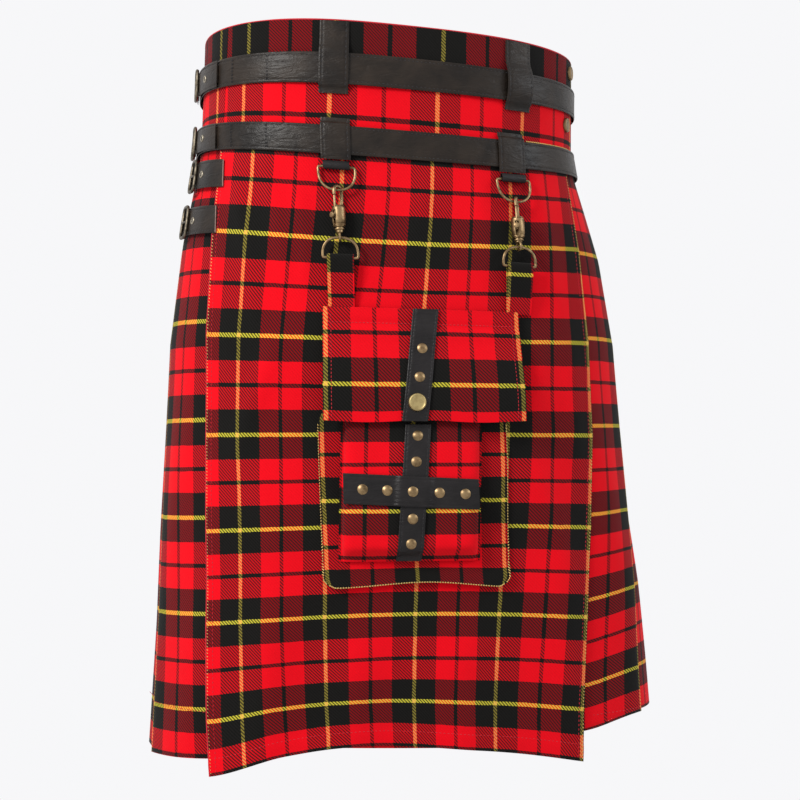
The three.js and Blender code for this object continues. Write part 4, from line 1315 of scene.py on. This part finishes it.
for word in HANG_S:
    where, eye_z = hook_frame(word)
    bow_middle = HOOK["wire"] + 1.7 - HOOK["bow"]
    line = [(-HOOK["bow"] * t, 0, z) for t, z in ((0.75, -15), (0.95, -11), (1.05, -7), (1.05, -4.5))]
    line += [
        (-HOOK["bow"] * math.cos(math.pi * k / 14), 0, bow_middle + HOOK["bow"] * math.sin(math.pi * k / 14))
        for k in range(1, 14)
    ]
    line += [(HOOK["bow"] * 1.02, 0, -2.4), (HOOK["bow"], 0, -4.0)]
    hook = bmesh.new()
    add_wire(hook, [where @ (Vector(p) * MM) for p in line], HOOK["wire"], sides=4)
    eye = [
        where @ (Matrix.Rotation(math.pi / 2 - GATE_TURN[word], 3, "Z") @ Vector((
            3.5 * math.cos(2 * math.pi * k / 28), 0, 3.5 * math.sin(2 * math.pi * k / 28))) * MM
            + Vector((0, 0, eye_z * MM)))
        for k in range(28)
    ]
    add_wire(hook, eye, 1.1, closed=True)
    post = [
        (0, eye_z + 3.0), (2.4, eye_z + 3.0), (3.0, eye_z + 3.6), (3.0, -34.6), (4.1, -34.3),
        (4.3, -33.7), (4.1, -33.1), (3.2, -32.8), (3.2, -32.2), (4.7, -31.8), (4.7, -31.4), (0, -31.3),
    ]
    add_turned(hook, post, where)
    keep(finished(f"snap_hook_{word}", hook), None, aged_brass)
    body = bmesh.new()
    barrel = [
        (0, -31.5), (4.6, -31.5), (5.3, -30.9), (5.4, -29.8), (5.0, -29.4), (5.5, -28.9), (5.8, -26),
        (5.8, -17), (5.5, -15.2), (5.0, -14.9), (5.3, -14.4), (4.8, -13.6), (0, -13.5),
    ]
    add_turned(body, barrel, where, 32)
    barrel_piece = finished(f"snap_barrel_{word}", body)
    slot = bmesh.new()
    bmesh.ops.create_cube(slot, size=1, matrix=where @ Matrix.Translation((7 * MM, 0, -24 * MM))
                          @ Matrix.Diagonal((6 * MM, 2.6 * MM, 12 * MM, 1)))
    bore = bmesh.new()
    add_turned(bore, [(0, -10), (1.45, -10), (1.45, -30.5), (0, -30.5)],
               where @ Matrix.Translation((HOOK["bolt"] * MM, 0, 0)), 20)
    carve(barrel_piece, finished("slot", slot, False))
    carve(barrel_piece, finished("bore", bore, False))
    keep(barrel_piece, f"hook_{word}", aged_brass)
    bolt = bmesh.new()
    rod = [(0, -4.5), (0.8, -4.6), (1.05, -5.2), (1.05, -25), (0, -25)]
    add_turned(bolt, rod, where @ Matrix.Translation((HOOK["bolt"] * MM, 0, 0)), 16)
    knob = [(0, 0), (1.0, 0), (1.0, 3.0), (2.4, 3.2), (2.6, 3.8), (2.3, 4.6), (1.2, 4.9), (0, 4.9)]
    sideways = Matrix.Translation((HOOK["bolt"] * MM, 0, HOOK["knob"] * MM))
    sideways @= Matrix.Rotation(math.pi / 2, 4, "Y")
    add_turned(bolt, knob, where @ sideways, 16)
    keep(finished(f"snap_bolt_{word}", bolt), f"hook_bolt_{word}", aged_brass, f"bolt_{word}")
    print("hook", word, "is", round(-eye_z), "mm from ring to ring")

# %% [markdown]
# ## Stitches and edges
# Sewing is what makes cloth and leather look made. A texture could draw dashes, but a real
# stitch is a short thread that catches the light, so each one is a small stretched ball of few
# faces. A row follows a function that gives the point on the surface at a distance along it.

# %% Stitch helpers


def stitch_row(bm, spot, start, stop, pitch=3.6, length=2.5, radius=0.33, slant=0.0):
    count = max(1, int(abs(stop - start) / pitch))
    for k in range(count):
        at = between(start, stop, (k + 0.5) / count)
        here, ahead = spot(at), spot(at + math.copysign(0.6, stop - start))
        along = (ahead - here).normalized()
        turn = along.to_track_quat("X", "Z") @ Quaternion((0, 0, 1), slant)
        size = Matrix.Diagonal((length / 2 * MM, radius * MM, radius * MM, 1))
        where = Matrix.Translation(here) @ turn.to_matrix().to_4x4() @ size
        bmesh.ops.create_icosphere(bm, subdivisions=1, radius=1, matrix=where)
    return count


leather_stitches, wool_stitches, edge_stitches = bmesh.new(), bmesh.new(), bmesh.new()
total = 0

# %% Leather stitches
for word, (middle, width) in BELTS.items():
    for sign in (-1, 1):
        z = middle + sign * width * (0.5 - STITCH_LINE)
        half = half_round(z)
        total += stitch_row(
            leather_stitches, lambda s: place(s, z, BELT_OUT + BELT_THICK - 0.12 + belt_out(s, z)),
            -half + 5, half - 5,
        )
        total += stitch_row(
            leather_stitches, lambda s: place(s, z, TONGUE_OUT + 1.9),
            TONGUE_BACK + 2, TONGUE_FRONT - 2,
        )
    for s in (-154, -152.8, -118, -116.8):
        total += stitch_row(
            leather_stitches, lambda h: place(s, h, BELT_OUT + BELT_THICK + 0.1),
            middle - width / 2 + 2, middle + width / 2 - 2, 3.0,
        )
for word, (middle, stops) in LOOPS.items():
    heights, outs = zip(*rounded(stops, 3))
    for sign in (-1, 1):
        s = middle + sign * LOOP_WIDTH * (0.5 - STITCH_LINE)

        def on_loop(h):
            return place(s, h, float(np.interp(-h, [-z for z in heights], outs)) + CLOTH - 0.1)

        total += stitch_row(leather_stitches, on_loop, heights[0] - 1, heights[-1] + 1, 4.4, 3.0, 0.45)
for word, (middle, front, back) in HIP_STRAPS.items():
    for sign in (-1, 1):
        z = middle + sign * HIP_WIDTH * (0.5 - STITCH_LINE)
        total += stitch_row(
            leather_stitches, lambda s: place(s, z, hip_out(s, front) - 0.1), back + 2, front - 2,
        )
for sign in (-1, 1):
    aside = sign * STRAP_WIDTH * (0.5 - STITCH_LINE)
    total += stitch_row(
        leather_stitches, lambda h: place(flap_strap_middle(h) + aside, h, on_flap(0, h) - 0.1),
        BAG_TOP - 2, FLAP_BOTTOM + 2, 3.0,
    )
    total += stitch_row(
        leather_stitches, lambda h: place(pouch_strap_middle(h) + aside, h, on_pouch(0, h) - 0.1),
        FLAP_BOTTOM - 4, POUCH_BOTTOM + 2, 3.0,
    )
print("leather stitches:", total)

# %% [markdown]
# Red thread runs along the hems and a little inside the edges of the wool, and a pale thread
# covers the apron's cut sides. Each row could be drawn flat and pressed on, but it is simpler to
# let it follow the function that shaped the cloth.

# %% Cloth stitches
EDGE_IN, EDGE_TOP_Z = 6, -80
FLAP_EDGE_IN, FLAP_SEAM_Z = 7, -219


def on_apron(s, z):
    return place(s, z, apron_out(s, z) + CLOTH + 0.05, apron_dip(s, z) + hem_wave(s, z))


def on_flap_cloth(s, z, above):
    return place(s, z, flap_out(z) + CLOTH + above + crease_height(FLAP_CREASES, s, z))


total = stitch_row(
    wool_stitches, lambda s: on_apron(s, HEM_Z + HEM_UP), apron_left(HEM_Z) + 3, apron_right(HEM_Z) - 3, 3.4,
)
for edge_of, inward in ((apron_left, EDGE_IN), (apron_right, -EDGE_IN)):
    total += stitch_row(
        wool_stitches, lambda h: on_apron(edge_of(h) + inward, h), EDGE_TOP_Z, HEM_Z + 2, 3.4,
    )
for sign in (-1, 1):
    s = FLAP_MIDDLE + sign * (FLAP_WIDTH / 2 - FLAP_EDGE_IN)
    total += stitch_row(
        wool_stitches, lambda h: on_flap_cloth(s, h, 0.05), BAG_TOP - 6, FLAP_BOTTOM + 3, 3.2,
    )
total += stitch_row(wool_stitches, lambda s: on_flap_cloth(s, FLAP_SEAM_Z, 0.1), -70, 90, 3.2)
for edge_of, inward in ((apron_left, 1.4), (apron_right, -1.4)):
    total += stitch_row(
        edge_stitches, lambda h: on_apron(edge_of(h) + inward, h), EDGE_TOP_Z, HEM_Z + 1,
        2.6, 1.9, 0.34, 0.7,
    )
for side in (-1, 1):
    for k in range(PLEATS_A_SIDE + 1):
        start, folds = pleat_folds(side, HEM_Z + HEM_UP)
        low, high, lift = pleat_row(HEM_Z + HEM_UP)
        first = start + 16 if k == 0 else folds[k - 1] + 2

        def on_pleat(s):
            came_from = start if k == 0 else folds[k - 1] - PLEAT_DEPTH
            out = between(low, high, (side * s - came_from) / (folds[k] - came_from)) + PLEAT_CLOTH * 1.3
            return place(s, HEM_Z + HEM_UP, out, side * lift * x_share(s, HEM_Z + HEM_UP))

        total += stitch_row(wool_stitches, on_pleat, side * first, side * (folds[k] - 2.5), 3.8)
total += stitch_row(
    edge_stitches, lambda s: place(s, YOKE_BOTTOM_Z + 4.4, APRON_OUT + CLOTH + 0.2),
    112, 180, 2.2, 3.0, 0.75, 0.5,
)
print("cloth stitches:", total)

# %% [markdown]
# The panel's sides and bottom are bound with slanted pale stitches, closer than the others. A
# cord along the edge would be an alternative, but it would show no separate threads.

# %% Overcast edges


def panel_point(a, b):
    return panel_shape(a, b)[0]


total = stitch_row(edge_stitches, lambda a: panel_point(a / 160, 1.0), 2, 158, 2.2, 3.2, 0.6, 0.9)
for a in (0.0, 1.0):
    total += stitch_row(
        edge_stitches, lambda h: panel_point(a, (BAG_TOP - h) / (BAG_TOP - BAG_BOTTOM)),
        -304, BAG_BOTTOM + 1, 2.4, 3.2, 0.5, 0.9,
    )
keep(finished("leather_thread", leather_stitches), None, black_thread)
keep(finished("cloth_thread", wool_stitches), None, red_thread)
keep(finished("edge_thread", edge_stitches), None, yellow_thread)
print("overcast stitches:", total)

# %% [markdown]
# A folded edge of thin red cloth shows at the rim and down the apron's left edge, and the cut
# ends of the hip straps are pale. These are thin rolls that follow the edges.

# %% Edge rolls
edges = bmesh.new()
half = half_round(RIM_Z)
rim_line = [place(between(-half, half, k / 200), RIM_Z + 0.2, APRON_OUT + CLOTH * 0.5) for k in range(200)]
add_wire(edges, rim_line, 0.75, closed=True, sides=2)
left_line = [
    place(
        apron_left(z) - 0.1, z, apron_out(apron_left(z), z) + CLOTH * 0.6,
        apron_dip(apron_left(z), z) + hem_wave(apron_left(z), z))
    for z in np.linspace(-79, HEM_Z, 120)
]
add_wire(edges, left_line, 0.7, sides=2)
keep(finished("folded_edge", edges), None, red_thread)
ends = bmesh.new()
for word, (middle, front, back) in HIP_STRAPS.items():
    line = [
        place(front + 0.1, middle + HIP_WIDTH * t, hip_out(front, front) - 0.7)
        for t in (-0.48, 0, 0.48)
    ]
    add_wire(ends, line, 0.55, sides=2)
keep(finished("strap_ends", ends), None, cut_edge)

# %% [markdown]
# ## Light, floor and background
# The photograph has an even pale background and light from all sides, a little stronger from
# the front. A bright world gives the even light, and two large soft lamps shape the folds. The
# kilt hangs as if it were worn, so the pale floor lies where a wearer would stand.

# %% Studio
world = bpy.data.worlds.new("studio")
bpy.context.scene.world = world
world.use_nodes = True
world.node_tree.nodes["Background"].inputs[0].default_value = (0.93, 0.93, 0.945, 1)
bpy.context.scene.view_settings.view_transform = "Standard"


def lamp(name, where, power, size, tint):
    light = bpy.data.lights.new(name, "AREA")
    light.energy, light.size, light.color = power, size, tint
    holder = bpy.data.objects.new(name, light)
    collection.objects.link(holder)
    towards = Vector((0, 0, -0.3)) - Vector(where)
    holder.matrix_world = Matrix.Translation(where) @ towards.to_track_quat("-Z", "Y").to_matrix().to_4x4()


lamp("front_lamp", (-1.9, -1.5, 1.1), 74, 0.7, (1.0, 0.98, 0.95))
lamp("side_lamp", (2.0, -0.8, 0.7), 14, 0.8, (0.92, 0.96, 1.0))

floor_bm = bmesh.new()
bmesh.ops.create_circle(
    floor_bm, cap_ends=True, segments=128, radius=1.7, matrix=Matrix.Translation((0, 0, -1.0)),
)
floor = finished("floor", floor_bm, False)
pale = Finish("pale_floor", Roughness=0.9)
tone = pale.ramp(pale.noise(3), [(0.3, (0.56, 0.56, 0.565)), (0.7, (0.59, 0.59, 0.595))])
floor.data.materials.append(pale.end(Base_Color=tone))
